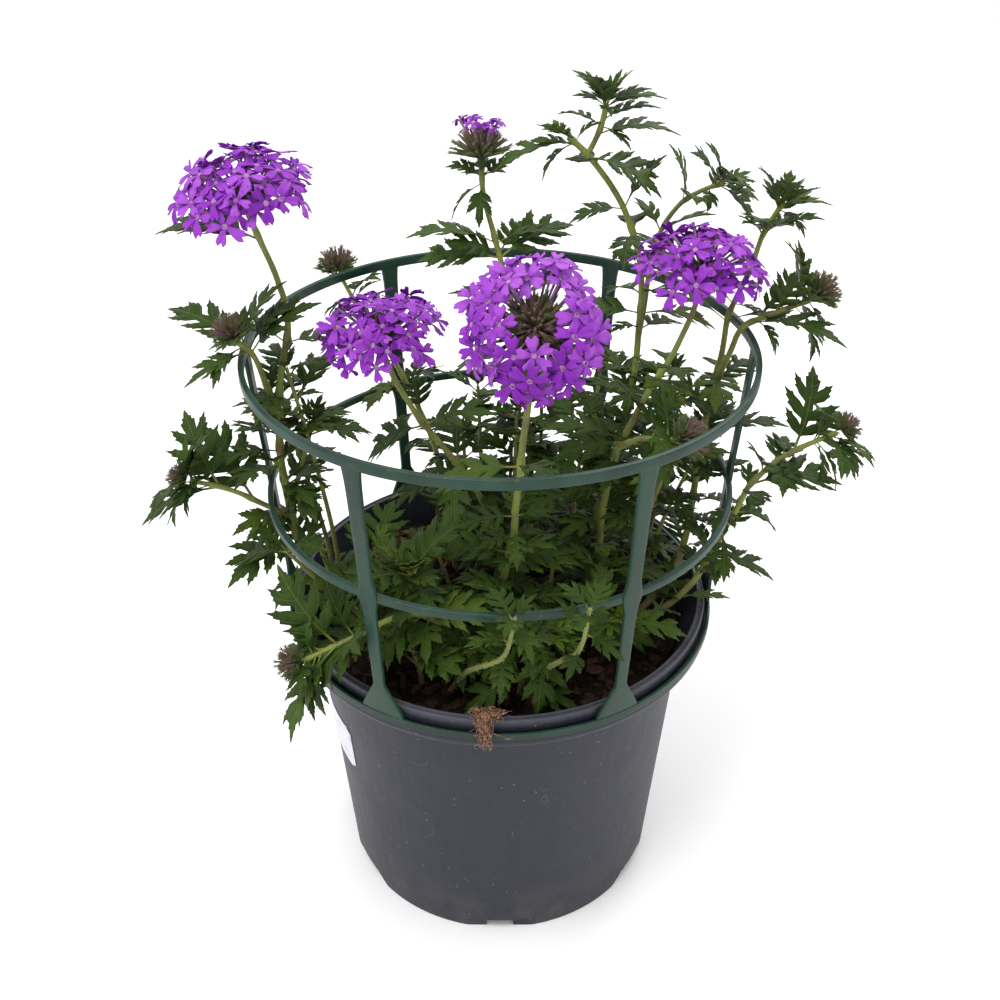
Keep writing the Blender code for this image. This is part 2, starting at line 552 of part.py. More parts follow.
# ---- the plant's shoots --------------------------------------------------------------------------
# Each leafy stem is a list of shoots, the later ones springing from the first. A shoot is its route
# in millimetres, its half thickness at foot and tip, its leaf pairs (share of the way along, turn of
# the opposite pair about the stem in degrees, leaf length, rise above square to the stem), and the
# leaves that reach in ways of their own (share of the way along, bearing from X and rise above level
# in degrees, leaf length).
SHOOTS = {
    "stems_left": [
        (
            [(-80, 6, 125), (-80, 6, 141), (-87, 5, 152), (-93, 1, 176), (-95, -2, 200),
             (-96, -3, 225), (-95, -3, 245), (-91, 0, 266), (-88, 4, 280), (-88, 5, 291),
             (-91, 4, 305), (-95, 2, 318), (-98, 0, 330)],
            (2.2, 1.2),
            [(0.42, 80, 34, 20), (0.62, 80, 34, 25), (0.74, 10, 30, 30)],
            [(0.27, 200, 10, 42), (0.34, 190, 25, 28), (0.5, 180, 35, 31), (0.96, 185, 50, 44)],
        ),
        (
            [(-95, -3, 243), (-98, -5, 258), (-100, -8, 271), (-102, -11, 278), (-107, -12, 282)],
            (1.5, 1.1),
            [(0.35, 100, 28, 20)],
            [(0.85, 160, 40, 44), (0.85, 355, 60, 38), (0.97, 220, 70, 36), (0.97, 95, 85, 33)],
        ),
        (
            [(-95, -1, 190), (-98, -11, 199), (-105, -15, 206), (-112, -18, 213), (-123, -22, 220),
             (-132, -24, 223)],
            (1.5, 1.0),
            [],
            [(0.5, 160, 65, 44), (0.8, 170, 55, 39), (0.8, 190, 0, 40), (0.98, 200, 55, 29),
             (0.98, 235, 40, 31)],
        ),
        (
            [(-95, -2, 197), (-89, 5, 210), (-85, 9, 224), (-83, 11, 232)],
            (1.3, 1.0),
            [(0.9, 30, 32, 30)],
            [],
        ),
        (
            [(-81, 6, 143), (-71, -4, 150), (-60, -13, 163), (-56, -20, 183)],
            (1.6, 1.0),
            [(0.6, 0, 34, 15), (0.97, 80, 34, 30)],
            [],
        ),
    ],
    "stems_right": [
        (
            [(60, -16, 125), (60, -16, 142), (70, -16, 146), (80, -14, 152), (89, -12, 162),
             (97, -11, 180), (101, -11, 193), (105, -12, 203), (108, -12, 213), (118, -13, 226),
             (128, -14, 234), (143, -14, 241)],
            (1.9, 1.1),
            [(0.47, 80, 27, 20)],
            [(0.72, 0, 25, 42), (0.88, 35, 65, 40), (0.98, 335, 25, 28), (0.98, 280, 20, 33)],
        ),
        (
            [(60, -16, 141), (68, -10, 147), (76, -4, 152), (83, 0, 163), (87, 6, 180), (89, 12, 200),
             (91, 17, 222), (94, 21, 240), (97, 23, 258), (98, 25, 275), (103, 30, 285),
             (109, 37, 294), (112, 40, 306), (116, 40, 315), (120, 40, 322)],
            (1.9, 1.1),
            [(0.33, 0, 30, 20), (0.62, 80, 34, 15), (0.74, 0, 32, 20)],
            [(0.48, 350, 40, 40), (0.84, 245, 70, 35), (0.93, 235, 55, 22), (0.93, 335, 50, 29),
             (0.99, 235, 80, 26), (0.99, 350, 35, 23), (0.99, 290, 65, 29)],
        ),
        (
            [(94, 21, 240), (96, 15, 255), (99, 11, 268), (101, 11, 277), (106, 11, 280.5),
             (112, 11, 282.5), (120, 13, 285), (131, 14, 289)],
            (1.5, 1.1),
            [],
            [(0.62, 335, 25, 45), (0.8, 0, 65, 25), (0.97, 305, 85, 33), (0.97, 340, 30, 33)],
        ),
    ],
    "stem_tall": [
        (
            [(44, 12, 125), (44, 12, 145), (45, 22, 172), (51, 28, 196), (58, 34, 220), (62, 40, 250),
             (63, 43, 275), (61, 45, 295), (58, 47, 306), (53, 48, 317), (46, 49, 328), (37, 50, 339),
             (28, 50, 347)],
            (2.0, 1.3),
            [(0.5, 80, 36, 15), (0.64, 0, 36, 15), (0.79, 80, 34, 20)],
            [(0.95, 340, 0, 35), (0.99, 180, 5, 38)],
        ),
        (
            [(37, 50, 339), (40, 51, 345), (43, 51, 353), (44, 51, 360)],
            (1.3, 1.0),
            [],
            [(0.5, 0, 25, 36), (0.8, 5, 35, 25), (1.0, 245, 65, 30), (1.0, 355, 50, 21)],
        ),
        (
            [(62, 41, 255), (65, 48, 272), (67, 52, 290), (71, 53, 306), (78, 51, 318), (87, 48, 325),
             (95, 45, 328)],
            (1.4, 1.0),
            [(0.5, 90, 28, 20)],
            [(0.8, 325, 80, 27), (0.8, 290, 30, 30), (0.98, 250, 65, 26), (0.98, 295, 40, 36)],
        ),
    ],
    "stem_right_bloom": [
        (
            [(48, -6, 125), (48, -6, 142), (46, -2, 158), (46, 0, 187), (49, -2, 215), (55, 0, 234),
             (64, 2, 253), (73, 5, 268), (80, 8, 284), (83, 10, 296)],
            (2.0, 1.2),
            [(0.6, 0, 38, 15), (0.78, 90, 34, 15)],
            [],
        ),
        (
            [(50, -2, 218), (50, -20, 238), (57, -36, 251), (70, -45, 254)],
            (1.4, 1.0),
            [(0.55, 0, 32, 10), (0.97, 70, 28, -10)],
            [],
        ),
        (
            [(48, -6, 140), (45, -20, 146), (45, -38, 153), (48, -48, 168)],
            (1.5, 1.0),
            [(0.65, 90, 34, 15), (0.97, 0, 36, 25)],
            [],
        ),
    ],
    "stem_front_bloom": [
        (
            [(-15, -30, 125), (-15, -30, 140), (-6, -25, 152), (2, -27, 177), (6, -33, 202),
             (7, -39, 222), (8, -44, 242), (10, -45, 262), (12, -43, 282), (13, -39, 298)],
            (2.0, 1.3),
            [(0.2, 70, 36, 15), (0.4, 0, 34, 20)],
            [(0.7, 180, 5, 38), (0.7, 295, 40, 33)],
        ),
        (
            [(-15, -30, 140), (-23, -29, 146), (-32, -35, 164), (-38, -44, 190)],
            (1.6, 1.0),
            [(0.5, 0, 36, 15), (0.8, 90, 36, 20), (1.0, 30, 38, 55)],
            [],
        ),
        (
            [(-15, -30, 140), (-2, -38, 146), (11, -50, 155), (20, -58, 167)],
            (1.5, 1.0),
            [(0.95, 80, 36, 20)],
            [],
        ),
    ],
    "stem_back_bloom": [
        (
            [(20, 36, 125), (20, 36, 141), (16, 36, 170), (13, 42, 215), (9, 50, 248), (5, 56, 270),
             (0, 61, 288), (-3, 64, 300), (-6, 67, 309), (-8, 70, 318), (-8, 72, 326)],
            (1.9, 1.2),
            [(0.6, 0, 36, 15)],
            [(0.85, 180, 30, 42), (0.85, 355, 35, 33), (0.98, 180, -25, 22), (0.98, 265, -20, 22)],
        ),
    ],
    "stem_middle_bloom": [
        (
            [(4, 16, 125), (4, 16, 141), (1, 15, 156), (-4, 12, 179), (-13, 8, 203), (-24, 2, 223),
             (-34, -4, 241), (-43, -8, 260), (-48, -9, 276)],
            (1.9, 1.2),
            [(0.36, 0, 34, 15), (0.58, 90, 36, 15), (0.76, 0, 34, 15)],
            [],
        ),
    ],
    "stem_back_bud": [
        (
            [(-22, 30, 125), (-22, 30, 141), (-24, 34, 165), (-30, 44, 195), (-42, 56, 222),
             (-56, 68, 243), (-68, 80, 256), (-74, 86, 265), (-77, 88, 270)],
            (1.7, 1.0),
            [(0.66, 60, 34, 15)],
            [],
        ),
    ],
    "stem_low_front": [
        (
            [(-21, -42, 125), (-21, -42, 145), (-25, -48, 164), (-34, -56, 178), (-46, -66, 182),
             (-57, -74, 181), (-66, -79, 179), (-76, -83, 176), (-80, -85, 175)],
            (1.7, 1.0),
            [(0.5, 0, 34, 10)],
            [(0.72, 220, 0, 44), (0.88, 220, 5, 44), (0.88, 185, 50, 42), (0.97, 215, 20, 32),
             (0.97, 185, 35, 23)],
        ),
    ],
}

# Blooms: name -> (stem, index of its shoot, way the bloom faces, radius, florets, polar angles of the
# first and last floret). The front bloom is fully open round a core of spent tubes.
BLOOMS = {
    "bloom_left": ("stems_left", 0, (-0.12, -0.25, 0.96), 26.0, 9, 0, 95),
    "bloom_middle": ("stem_middle_bloom", 0, (-0.25, -0.35, 0.9), 26.0, 9, 0, 100),
    "bloom_front": ("stem_front_bloom", 0, (0.03, -0.75, 0.66), 29.0, 10, 34, 96),
    "bloom_right": ("stem_right_bloom", 0, (0.05, -0.05, 1.0), 27.0, 9, 0, 88),
    "bloom_back": ("stem_back_bloom", 0, (0.05, -0.1, 1.0), 17.0, 6, 10, 62),
}

# Heads still in bud: name -> (stem, index of its shoot, way it faces, radius).
BUD_HEADS = {
    "bud_upper_left": ("stems_left", 1, (-0.3, -0.1, 0.95), 6.5),
    "bud_far_left": ("stems_left", 2, (-0.8, -0.1, 0.6), 4.5),
    "bud_right": ("stems_right", 2, (0.7, 0.1, 0.7), 7.0),
    "bud_far_right": ("stems_right", 0, (0.8, 0.0, 0.6), 5.0),
    "bud_inner_right": ("stem_right_bloom", 1, (0.9, -0.3, 0.3), 9.0),
    "bud_back": ("stem_back_bud", 0, (-0.1, 0.0, 1.0), 8.0),
    "bud_low_front": ("stem_low_front", 0, (-0.9, -0.3, 0.3), 5.5),
}


def shoot_line(route):
    return smooth_route([Vector(point) for point in route])


def shoot_side(line):
    """The direction that a shoot's leaf pairs are turned from: X, or Y on a shoot that runs along X."""
    run = (line[-1] - line[0]).normalized()
    return Vector((1.0, 0.0, 0.0)) if abs(run.x) < 0.75 else Vector((0.0, 1.0, 0.0))


def bearing(turn, rise):
    """The direction at a turn from X about Z and a rise above level, in degrees."""
    level = math.cos(math.radians(rise))
    return polar(level, math.radians(turn), math.sin(math.radians(rise)))


def pair_sides(line, share, turn):
    """The two directions, square to the stem, in which an opposite pair of leaves stands out."""
    reference = shoot_side(line)
    _, direction = along(line, share)
    flat = (reference - direction * reference.dot(direction)).normalized()
    return [Matrix.Rotation(math.radians(turn + half), 3, direction) @ flat for half in (0, 180)]


def shoot_tubes(name, shoots):
    """The bare tubes of a stem's shoots."""
    tubes = []
    for route, (foot, tip), _, _ in shoots:
        line = shoot_line(route)
        last = len(line) - 1
        tubes.append(tube(name, line, [foot + (tip - foot) * i / last for i in range(last + 1)]))
    return tubes


def grow_stem(name, shoots, tubes, obstacles):
    """One leafy stem: the tubes of its shoots and their leaves, fused into one body."""
    pieces = list(tubes)
    for route, _, pairs, lone in shoots:
        line = shoot_line(route)
        wanted = []
        for share, turn, length, rise in pairs:
            wanted += [(share, side, length, rise) for side in pair_sides(line, share, turn)]
        wanted += [(share, bearing(turn, rise), length, 0) for share, turn, rise, length in lone]
        for share, side, length, rise in wanted:
            place, direction = along(line, share)
            foot_place = place - direction * LEAF_STEP + side * 0.3
            leaf = grow_leaf(foot_place, direction, side, rise, length, obstacles)
            if leaf:
                pieces.append(leaf)
    body = pieces[0]
    body.name = name
    body.data.materials.append(FOLIAGE)
    return combine(body, pieces[1:], "UNION")


# ---- blooms and bud heads ------------------------------------------------------------------------
def facing(place, axis):
    """A frame at a place whose Z is the axis."""
    turn = Vector((0.0, 0.0, 1.0)).rotation_difference(axis)
    return Matrix.Translation(place * MM) @ turn.to_matrix().to_4x4()


def seat_of(stem, index, axis):
    """The middle of a head's underside: just clear of the end of its stem."""
    line = shoot_line(SHOOTS[stem][index][0])
    tip_thickness = SHOOTS[stem][index][1][1]
    direction = (line[-1] - line[-2]).normalized()
    lean = direction.cross(axis).length
    return line[-1] + axis * (GAP + tip_thickness * lean)


def head_core(name, seat, axis, radius, height, material):
    """The domed receptacle of a head, with a small flat underside on the stem's end."""
    profile = [(0.0, height), (0.62 * radius, 0.86 * height), (radius, 0.5 * height),
               (0.8 * radius, 0.2 * height), (1.8, 0.0), (0.0, 0.0)]
    core = settle(turned(name, profile, material, steps=7))
    core.data.transform(facing(seat, axis))
    return core


def spread_round(axis, count, first, last):
    """Directions spaced evenly round an axis, between two polar angles in degrees."""
    turn = Vector((0.0, 0.0, 1.0)).rotation_difference(axis)
    top, low = math.cos(math.radians(first)), math.cos(math.radians(last))
    for i in range(count):
        height = top + (low - top) * (i + 0.5) / count
        reach = math.sqrt(max(0.0, 1.0 - height * height))
        angle = GOLDEN_ANGLE * i
        yield turn @ Vector((reach * math.cos(angle), reach * math.sin(angle), height))


def floret(root, face, outward, radius):
    """A slender tube from the receptacle and a five-petalled face at its end."""
    bm = bmesh.new()
    length = (face - root).length
    middle = facing(root.lerp(face, 0.5), (face - root).normalized())
    bmesh.ops.create_cone(
        bm, cap_ends=True, segments=3, radius1=TUBE_FOOT * MM, radius2=TUBE_MOUTH * MM,
        depth=length * MM, matrix=middle,
    )
    stalk = add_object("floret_tube", mesh_from_bmesh("floret_tube", bm))
    bm = bmesh.new()
    corners = 15            # two on the end of each of five petals, and one between petals
    bmesh.ops.create_circle(bm, cap_ends=True, segments=corners, radius=radius * MM)
    bm.verts.ensure_lookup_table()
    for vertex in list(bm.verts)[::3]:
        vertex.co *= PETAL_NOTCH
    bmesh.ops.triangulate(bm, faces=bm.faces)
    bmesh.ops.transform(bm, matrix=facing(face, outward), verts=bm.verts)
    star = add_object("floret_face", mesh_from_bmesh("floret_face", bm))
    solid = star.modifiers.new("petal", "SOLIDIFY")
    solid.thickness = PETAL * MM
    solid.offset = 0.0
    return [stalk, settle(star)]


def make_bloom(name, stem, index, faces, radius, count, first, last):
    """A domed head of florets on their tubes, round a small receptacle."""
    axis = Vector(faces).normalized()
    seat = seat_of(stem, index, axis)
    core = head_core(name, seat, axis, BLOOM_CORE * radius, BLOOM_CORE_RISE * radius, PETALS)
    heart = seat + axis * BLOOM_HEART * radius
    pieces = []
    for i, outward in enumerate(spread_round(axis, count, first, last)):
        reach = radius - FLORET_STAGGER * (i % 2)
        face = heart + outward * reach - axis * outward.dot(axis) * BLOOM_FLATTEN * reach
        root = heart + outward * FLORET_ROOT * radius
        pieces += floret(root, face, outward, FLORET_SPREAD * radius)
    return combine(core, pieces, "UNION")


def make_bud_head(name, stem, index, faces, radius):
    """A rounded head set with calyx points, its flowers still closed."""
    axis = Vector(faces).normalized()
    seat = seat_of(stem, index, axis)
    core = head_core(name, seat, axis, BUD_CORE * radius, BUD_CORE_RISE * radius, CALYX)
    heart = seat + axis * BUD_HEART * radius
    pieces = []
    for outward in spread_round(axis, CALYX_POINTS, 8, 84):
        bm = bmesh.new()
        place = facing(heart + outward * BUD_CORE * radius, outward)
        bmesh.ops.create_cone(
            bm, cap_ends=True, segments=3, radius1=CALYX_FOOT * MM, radius2=CALYX_TIP * MM,
            depth=radius * MM, matrix=place,
        )
        pieces.append(add_object("calyx_point", mesh_from_bmesh("calyx_point", bm)))
    return combine(core, pieces, "UNION")


# ---- assembly ------------------------------------------------------------------------------------
pot = make_pot()
cage = make_cage()
make_label()
make_coir()
roots = {tuple(shoot[0][0][:2]): shoot[1][0] for shoots in SHOOTS.values() for shoot in shoots
         if shoot[0][0][2] < SOIL_Z}
soil = make_soil([(x, y, radius) for (x, y), radius in roots.items()])

fixed = [tree_of(obj.data) for obj in (pot, cage, soil)]
for head_name, head in BLOOMS.items():
    fixed.append(tree_of(make_bloom(head_name, *head).data))
for head_name, head in BUD_HEADS.items():
    fixed.append(tree_of(make_bud_head(head_name, *head).data))
bare = {name: shoot_tubes(name, shoots) for name, shoots in SHOOTS.items()}
bare_trees = {name: [tree_of(piece.data) for piece in tubes] for name, tubes in bare.items()}
for node_name, shoots in SHOOTS.items():
    del bare_trees[node_name]
    later = [tree for trees in bare_trees.values() for tree in trees]
    fixed.append(tree_of(grow_stem(node_name, shoots, bare[node_name], fixed + later).data))
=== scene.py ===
"""A flowering verbena in its nursery pot, grown up through a moulded ring support.

Blender 4.5. Metres, +Z up; the sections' own sizes are in millimetres. The origin is the middle of
the pot's base, on the surface that it stands on.
"""
import math
import random

import bmesh
import bpy
from mathutils import Matrix, Vector, noise
from mathutils.bvhtree import BVHTree
from mathutils.geometry import delaunay_2d_cdt


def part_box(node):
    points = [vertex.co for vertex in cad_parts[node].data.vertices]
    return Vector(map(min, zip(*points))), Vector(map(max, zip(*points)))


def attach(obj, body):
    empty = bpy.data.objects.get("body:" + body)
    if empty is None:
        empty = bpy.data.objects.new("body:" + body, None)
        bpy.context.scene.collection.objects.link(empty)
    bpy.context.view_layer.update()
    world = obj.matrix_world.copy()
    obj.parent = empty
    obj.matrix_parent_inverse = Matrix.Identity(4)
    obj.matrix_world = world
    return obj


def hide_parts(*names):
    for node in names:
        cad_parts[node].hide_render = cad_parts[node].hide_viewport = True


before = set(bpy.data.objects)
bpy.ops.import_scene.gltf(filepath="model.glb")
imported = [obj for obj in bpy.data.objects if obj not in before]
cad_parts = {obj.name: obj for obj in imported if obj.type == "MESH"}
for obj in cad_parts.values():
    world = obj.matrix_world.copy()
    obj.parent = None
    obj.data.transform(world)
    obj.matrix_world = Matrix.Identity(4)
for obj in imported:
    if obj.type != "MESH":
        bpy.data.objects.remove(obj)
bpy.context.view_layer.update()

# ---- Studio --------------------------------------------------------------------------------------
# A pale floor under soft, nearly shadowless studio light. The camera looks down on the plant at about
# a third of a right angle.
MM = 0.001
CAMERA_PLACE = (0.0, -0.4669, 0.5002)
CAMERA_DIP = 32.933         # degrees below level
CAMERA_LENS = 44.56
CAMERA_SENSOR = 36.0
CAMERA_NEAR = 0.01
FLOOR_SIDE = 6.0
FLOOR_COLOUR = (0.97, 0.97, 0.97)
FLOOR_PALE = (0.98, 0.98, 0.98)
SKY_COLOUR = (1.0, 1.0, 1.0, 1.0)
SKY_STRENGTH = 1.0
# A light's place, the point it is aimed at, its width, and its power.
KEY_LIGHT = ((-0.45, -0.5, 1.5), (0.0, 0.0, 0.2), 0.8, 12.0)
RIM_LIGHT = ((0.5, 1.0, 1.1), (0.0, 0.0, 0.25), 0.7, 6.0)


class Value:
    """A socket of a finish's node tree. Operators on it add Math nodes."""

    def __init__(self, finish, socket):
        self.finish = finish
        self.socket = socket

    def __add__(self, other):
        return self.finish.maths("ADD", self, other)

    def __sub__(self, other):
        return self.finish.maths("SUBTRACT", self, other)

    def __rsub__(self, other):
        return self.finish.maths("SUBTRACT", other, self)

    def __mul__(self, other):
        return self.finish.maths("MULTIPLY", self, other)

    def __abs__(self):
        return self.finish.maths("ABSOLUTE", self)

    __radd__ = __add__
    __rmul__ = __mul__

    def clamped(self):
        return self.finish.maths("MINIMUM", self.finish.maths("MAXIMUM", self, 0.0), 1.0)

    def rising(self, low, high):
        """0 below low and 1 above high, with an even rise between."""
        return ((self - low) * (1.0 / (high - low))).clamped()


class Finish:
    """A material under construction: a Principled shader, and the nodes that feed it."""

    def __init__(self, name, **fixed):
        self.material = bpy.data.materials.new(name)
        self.material.use_nodes = True
        self.tree = self.material.node_tree
        self.shader = self.tree.nodes["Principled BSDF"]
        for socket, value in fixed.items():
            self.shader.inputs[socket.replace("_", " ")].default_value = value

    def node(self, kind, settings=None, inputs=None, output=0):
        """A node of any type, from its settings and the values or links of its sockets."""
        made = self.tree.nodes.new(kind)
        for key, value in (settings or {}).items():
            if key == "stops":
                ramp = made.color_ramp.elements
                while len(ramp) < len(value):
                    ramp.new(0.5)
                for stop, (place, colour) in zip(ramp, value):
                    stop.position = place
                    stop.color = (*colour, 1.0)
            else:
                setattr(made, key, value)
        for key, value in (inputs or {}).items():
            if isinstance(value, Value):
                self.tree.links.new(value.socket, made.inputs[key])
            else:
                made.inputs[key].default_value = value
        return Value(self, made.outputs[output])

    def maths(self, operation, *operands):
        return self.node("ShaderNodeMath", {"operation": operation}, dict(enumerate(operands)))

    def place(self):
        """The position in the part's own frame, in metres."""
        return self.node("ShaderNodeTexCoord", output="Object")

    def noise(self, vector, scale, detail=3.0, roughness=0.55):
        inputs = {"Vector": vector, "Scale": scale, "Detail": detail, "Roughness": roughness}
        return self.node("ShaderNodeTexNoise", inputs=inputs)

    def stretched(self, vector, scale):
        """The vector with a scale of its own along each axis."""
        return self.node("ShaderNodeVectorMath", {"operation": "MULTIPLY"}, {0: vector, 1: scale})

    def ramp(self, share, *stops):
        """A colour that runs through the stops, each a (place, colour) pair."""
        return self.node("ShaderNodeValToRGB", {"stops": stops}, {"Fac": share})

    def mixed(self, share, first, second):
        """The first colour at 0 and the second at 1."""
        sockets = {0: share, 6: first, 7: second}
        for key in (6, 7):
            if not isinstance(sockets[key], Value):
                sockets[key] = (*sockets[key], 1.0)
        return self.node("ShaderNodeMix", {"data_type": "RGBA"}, sockets, output=2)

    def split(self, vector, axis):
        return self.node("ShaderNodeSeparateXYZ", inputs={0: vector}, output=axis)

    def bump(self, height, distance, strength=1.0):
        """Relief of the given depth in metres, on top of any that came before."""
        inputs = {"Height": height, "Distance": distance, "Strength": strength}
        before = self.shader.inputs["Normal"].links
        if before:
            inputs["Normal"] = Value(self, before[0].from_socket)
        self.feed("Normal", self.node("ShaderNodeBump", inputs=inputs))

    def feed(self, socket, value):
        self.tree.links.new(value.socket, self.shader.inputs[socket])


def add_piece(name, mesh, *finishes):
    """A piece of the object, in the part's frame, with its materials."""
    piece = bpy.data.objects.new(name, mesh)
    bpy.context.scene.collection.objects.link(piece)
    for finish in finishes:
        piece.data.materials.append(finish.material)
    return piece


def area_light(name, place, aim, size, power):
    """A round light, turned to the point that it is aimed at."""
    light = bpy.data.lights.new(name, "AREA")
    light.shape = "DISK"
    light.size = size
    light.energy = power
    lamp = bpy.data.objects.new(name, light)
    lamp.location = place
    lamp.rotation_euler = (Vector(aim) - Vector(place)).to_track_quat("-Z", "Y").to_euler()
    bpy.context.scene.collection.objects.link(lamp)


floor_finish = Finish("studio_floor", Roughness=0.9)
floor_tone = floor_finish.noise(floor_finish.place(), 3.0)
floor_finish.feed("Base Color", floor_finish.mixed(floor_tone, FLOOR_COLOUR, FLOOR_PALE))
bpy.ops.mesh.primitive_plane_add(size=FLOOR_SIDE)
floor = bpy.context.object
floor.name = "studio_floor"
floor.data.materials.append(floor_finish.material)

world = bpy.data.worlds.new("studio")
world.use_nodes = True
sky = world.node_tree.nodes["Background"].inputs
sky["Color"].default_value = SKY_COLOUR
sky["Strength"].default_value = SKY_STRENGTH
bpy.context.scene.world = world
area_light("key", *KEY_LIGHT)
area_light("rim", *RIM_LIGHT)

camera = bpy.data.objects.new("camera", bpy.data.cameras.new("camera"))
camera.data.lens = CAMERA_LENS
camera.data.sensor_width = CAMERA_SENSOR
camera.data.clip_start = CAMERA_NEAR
camera.location = CAMERA_PLACE
camera.rotation_euler = (math.radians(90.0 - CAMERA_DIP), 0.0, 0.0)
bpy.context.scene.collection.objects.link(camera)
bpy.context.scene.camera = camera
bpy.context.scene.view_settings.view_transform = "Standard"

# ---- Pot -----------------------------------------------------------------------------------------
# A round nursery pot, blow-moulded in thin grey-black recycled plastic. Its rim stands up inside a
# wider shoulder, its floor is raised on a foot, and drain slots are cut through the foot.
TURN_STEPS = 144
GAP = 0.3                   # between pieces that rest on each other
POT_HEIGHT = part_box("pot")[1][2] / MM
RIM_RADIUS = 95.0
RIM_WALL = 3.4
RIM_DEPTH = 6.0
RIM_TAPER = 0.8
# A shallow groove runs round the top of the rim.
GROOVE_INSIDE = 1.3
GROOVE_OUTSIDE = 1.0
GROOVE_DEPTH = 0.7
BASE_RADIUS = 76.0
WALL = 1.7
BAND_RADIUS = 97.4
SHOULDER_Z = 144.0
BAND_FOOT_Z = 133.5
BAND_FOOT_RADIUS = 86.0
FLOOR_Z = 8.0
PAD_RADIUS = 27.0           # the middle of the floor, pressed down to stand level with the foot
PAD_SLOPE = 8.0             # how far its edge runs out
WALL_JOINT_Z = 60.0         # a ring of corners here keeps the wall's faces even
FOOT_WALL = 3.0
DRAINS = 6
DRAIN_WIDTH = 13.0
DRAIN_HEIGHT = 6.0
FIRST_DRAIN = 30.0          # its bearing from X, in degrees
SLOT_DEPTH = 14.0
RECESS_DEPTH = 4.0          # of the wall round a slot
RECESS_SPAN = 2.6           # its width, in drain widths
ABOVE_DRAINS = 11.0         # a ring of corners here keeps the slots out of the wall's long faces
DRAIN_HOLE_RADIUS = 5.0
DRAIN_HOLE_ORBIT = 58.0
POT_TINT = (0.0125, 0.0135, 0.023)
POT_TINT_WORN = (0.03, 0.032, 0.047)
# The pale of the rim's top, a painted highlight.
RIM_PAINTED_HIGHLIGHT = (0.12, 0.12, 0.14)
DUST_COLOUR = (0.2, 0.17, 0.13)
POT_ROUNDING = 0.7


def rounded(outline, radius, steps=3):
    """The outline with each of its inner corners replaced by a short arc."""
    corners = [Vector(point) for point in outline]
    out = [corners[0]]
    for before, corner, after in zip(corners, corners[1:], corners[2:]):
        cut = min(radius, 0.45 * (corner - before).length, 0.45 * (after - corner).length)
        start = corner + (before - corner).normalized() * cut
        end = corner + (after - corner).normalized() * cut
        for i in range(steps + 1):
            t = i / steps
            out.append(start.lerp(corner, t).lerp(corner.lerp(end, t), t))
    return out + [corners[-1]]


def mesh_of(name, bm):
    """The finished mesh of an edit mesh, which is freed."""
    mesh = bpy.data.meshes.new(name)
    bm.to_mesh(mesh)
    bm.free()
    return mesh


def turned(name, outline, finish, closed=False):
    """A piece turned about Z from an outline of (radius, height) points."""
    bm = bmesh.new()
    points = [bm.verts.new((r * MM, 0.0, z * MM)) for r, z in outline]
    for first, second in zip(points, points[1:]):
        bm.edges.new((first, second))
    if closed:
        bm.edges.new((points[-1], points[0]))
    piece = add_piece(name, mesh_of(name, bm), finish)
    screw = piece.modifiers.new("turn", "SCREW")
    screw.steps = TURN_STEPS
    screw.render_steps = TURN_STEPS
    screw.use_merge_vertices = True
    screw.merge_threshold = 0.00001
    screw.use_smooth_shade = True
    return settled(piece)


def settled(piece):
    """The piece with its modifiers applied."""
    graph = bpy.context.evaluated_depsgraph_get()
    mesh = bpy.data.meshes.new_from_object(piece.evaluated_get(graph))
    piece.modifiers.clear()
    piece.data = mesh
    return piece


def combined(piece, others, operation):
    """One Boolean of the piece with every other, applied."""
    bag = bpy.data.collections.new("operands")
    bpy.context.scene.collection.children.link(bag)
    for other in others:
        bag.objects.link(other)
    boolean = piece.modifiers.new("combine", "BOOLEAN")
    boolean.operation = operation
    boolean.operand_type = "COLLECTION"
    boolean.collection = bag
    boolean.solver = "EXACT"
    settled(piece)
    for other in others:
        bpy.data.objects.remove(other, do_unlink=True)
    bpy.data.collections.remove(bag)
    return piece


def smoothed(piece, degrees=35.0):
    """Shades the piece smooth, save where its faces meet at more than the angle."""
    bm = bmesh.new()
    bm.from_mesh(piece.data)
    for face in bm.faces:
        face.smooth = True
    for edge in bm.edges:
        edge.smooth = edge.calc_face_angle(0.0) < math.radians(degrees)
    bm.to_mesh(piece.data)
    bm.free()
    return piece


def polar(radius, angle, z):
    """The point at a radius, an angle from X and a height."""
    return Vector((radius * math.cos(angle), radius * math.sin(angle), z))


def wall_radius(z):
    """The pot's outer radius at a height of its plain wall."""
    return BASE_RADIUS + (BAND_FOOT_RADIUS - BASE_RADIUS) * z / BAND_FOOT_Z


def cutting_box(size, place, turn):
    """A box to cut with, its middle at place, then turned about the pot's axis."""
    bm = bmesh.new()
    bmesh.ops.create_cube(bm, size=1.0)
    reach = Matrix.Translation(Vector(place) * MM) @ Matrix.Diagonal((*(Vector(size) * MM), 1.0))
    bmesh.ops.transform(bm, matrix=Matrix.Rotation(turn, 4, "Z") @ reach, verts=bm.verts)
    return add_piece("cutter", mesh_of("cutter", bm))


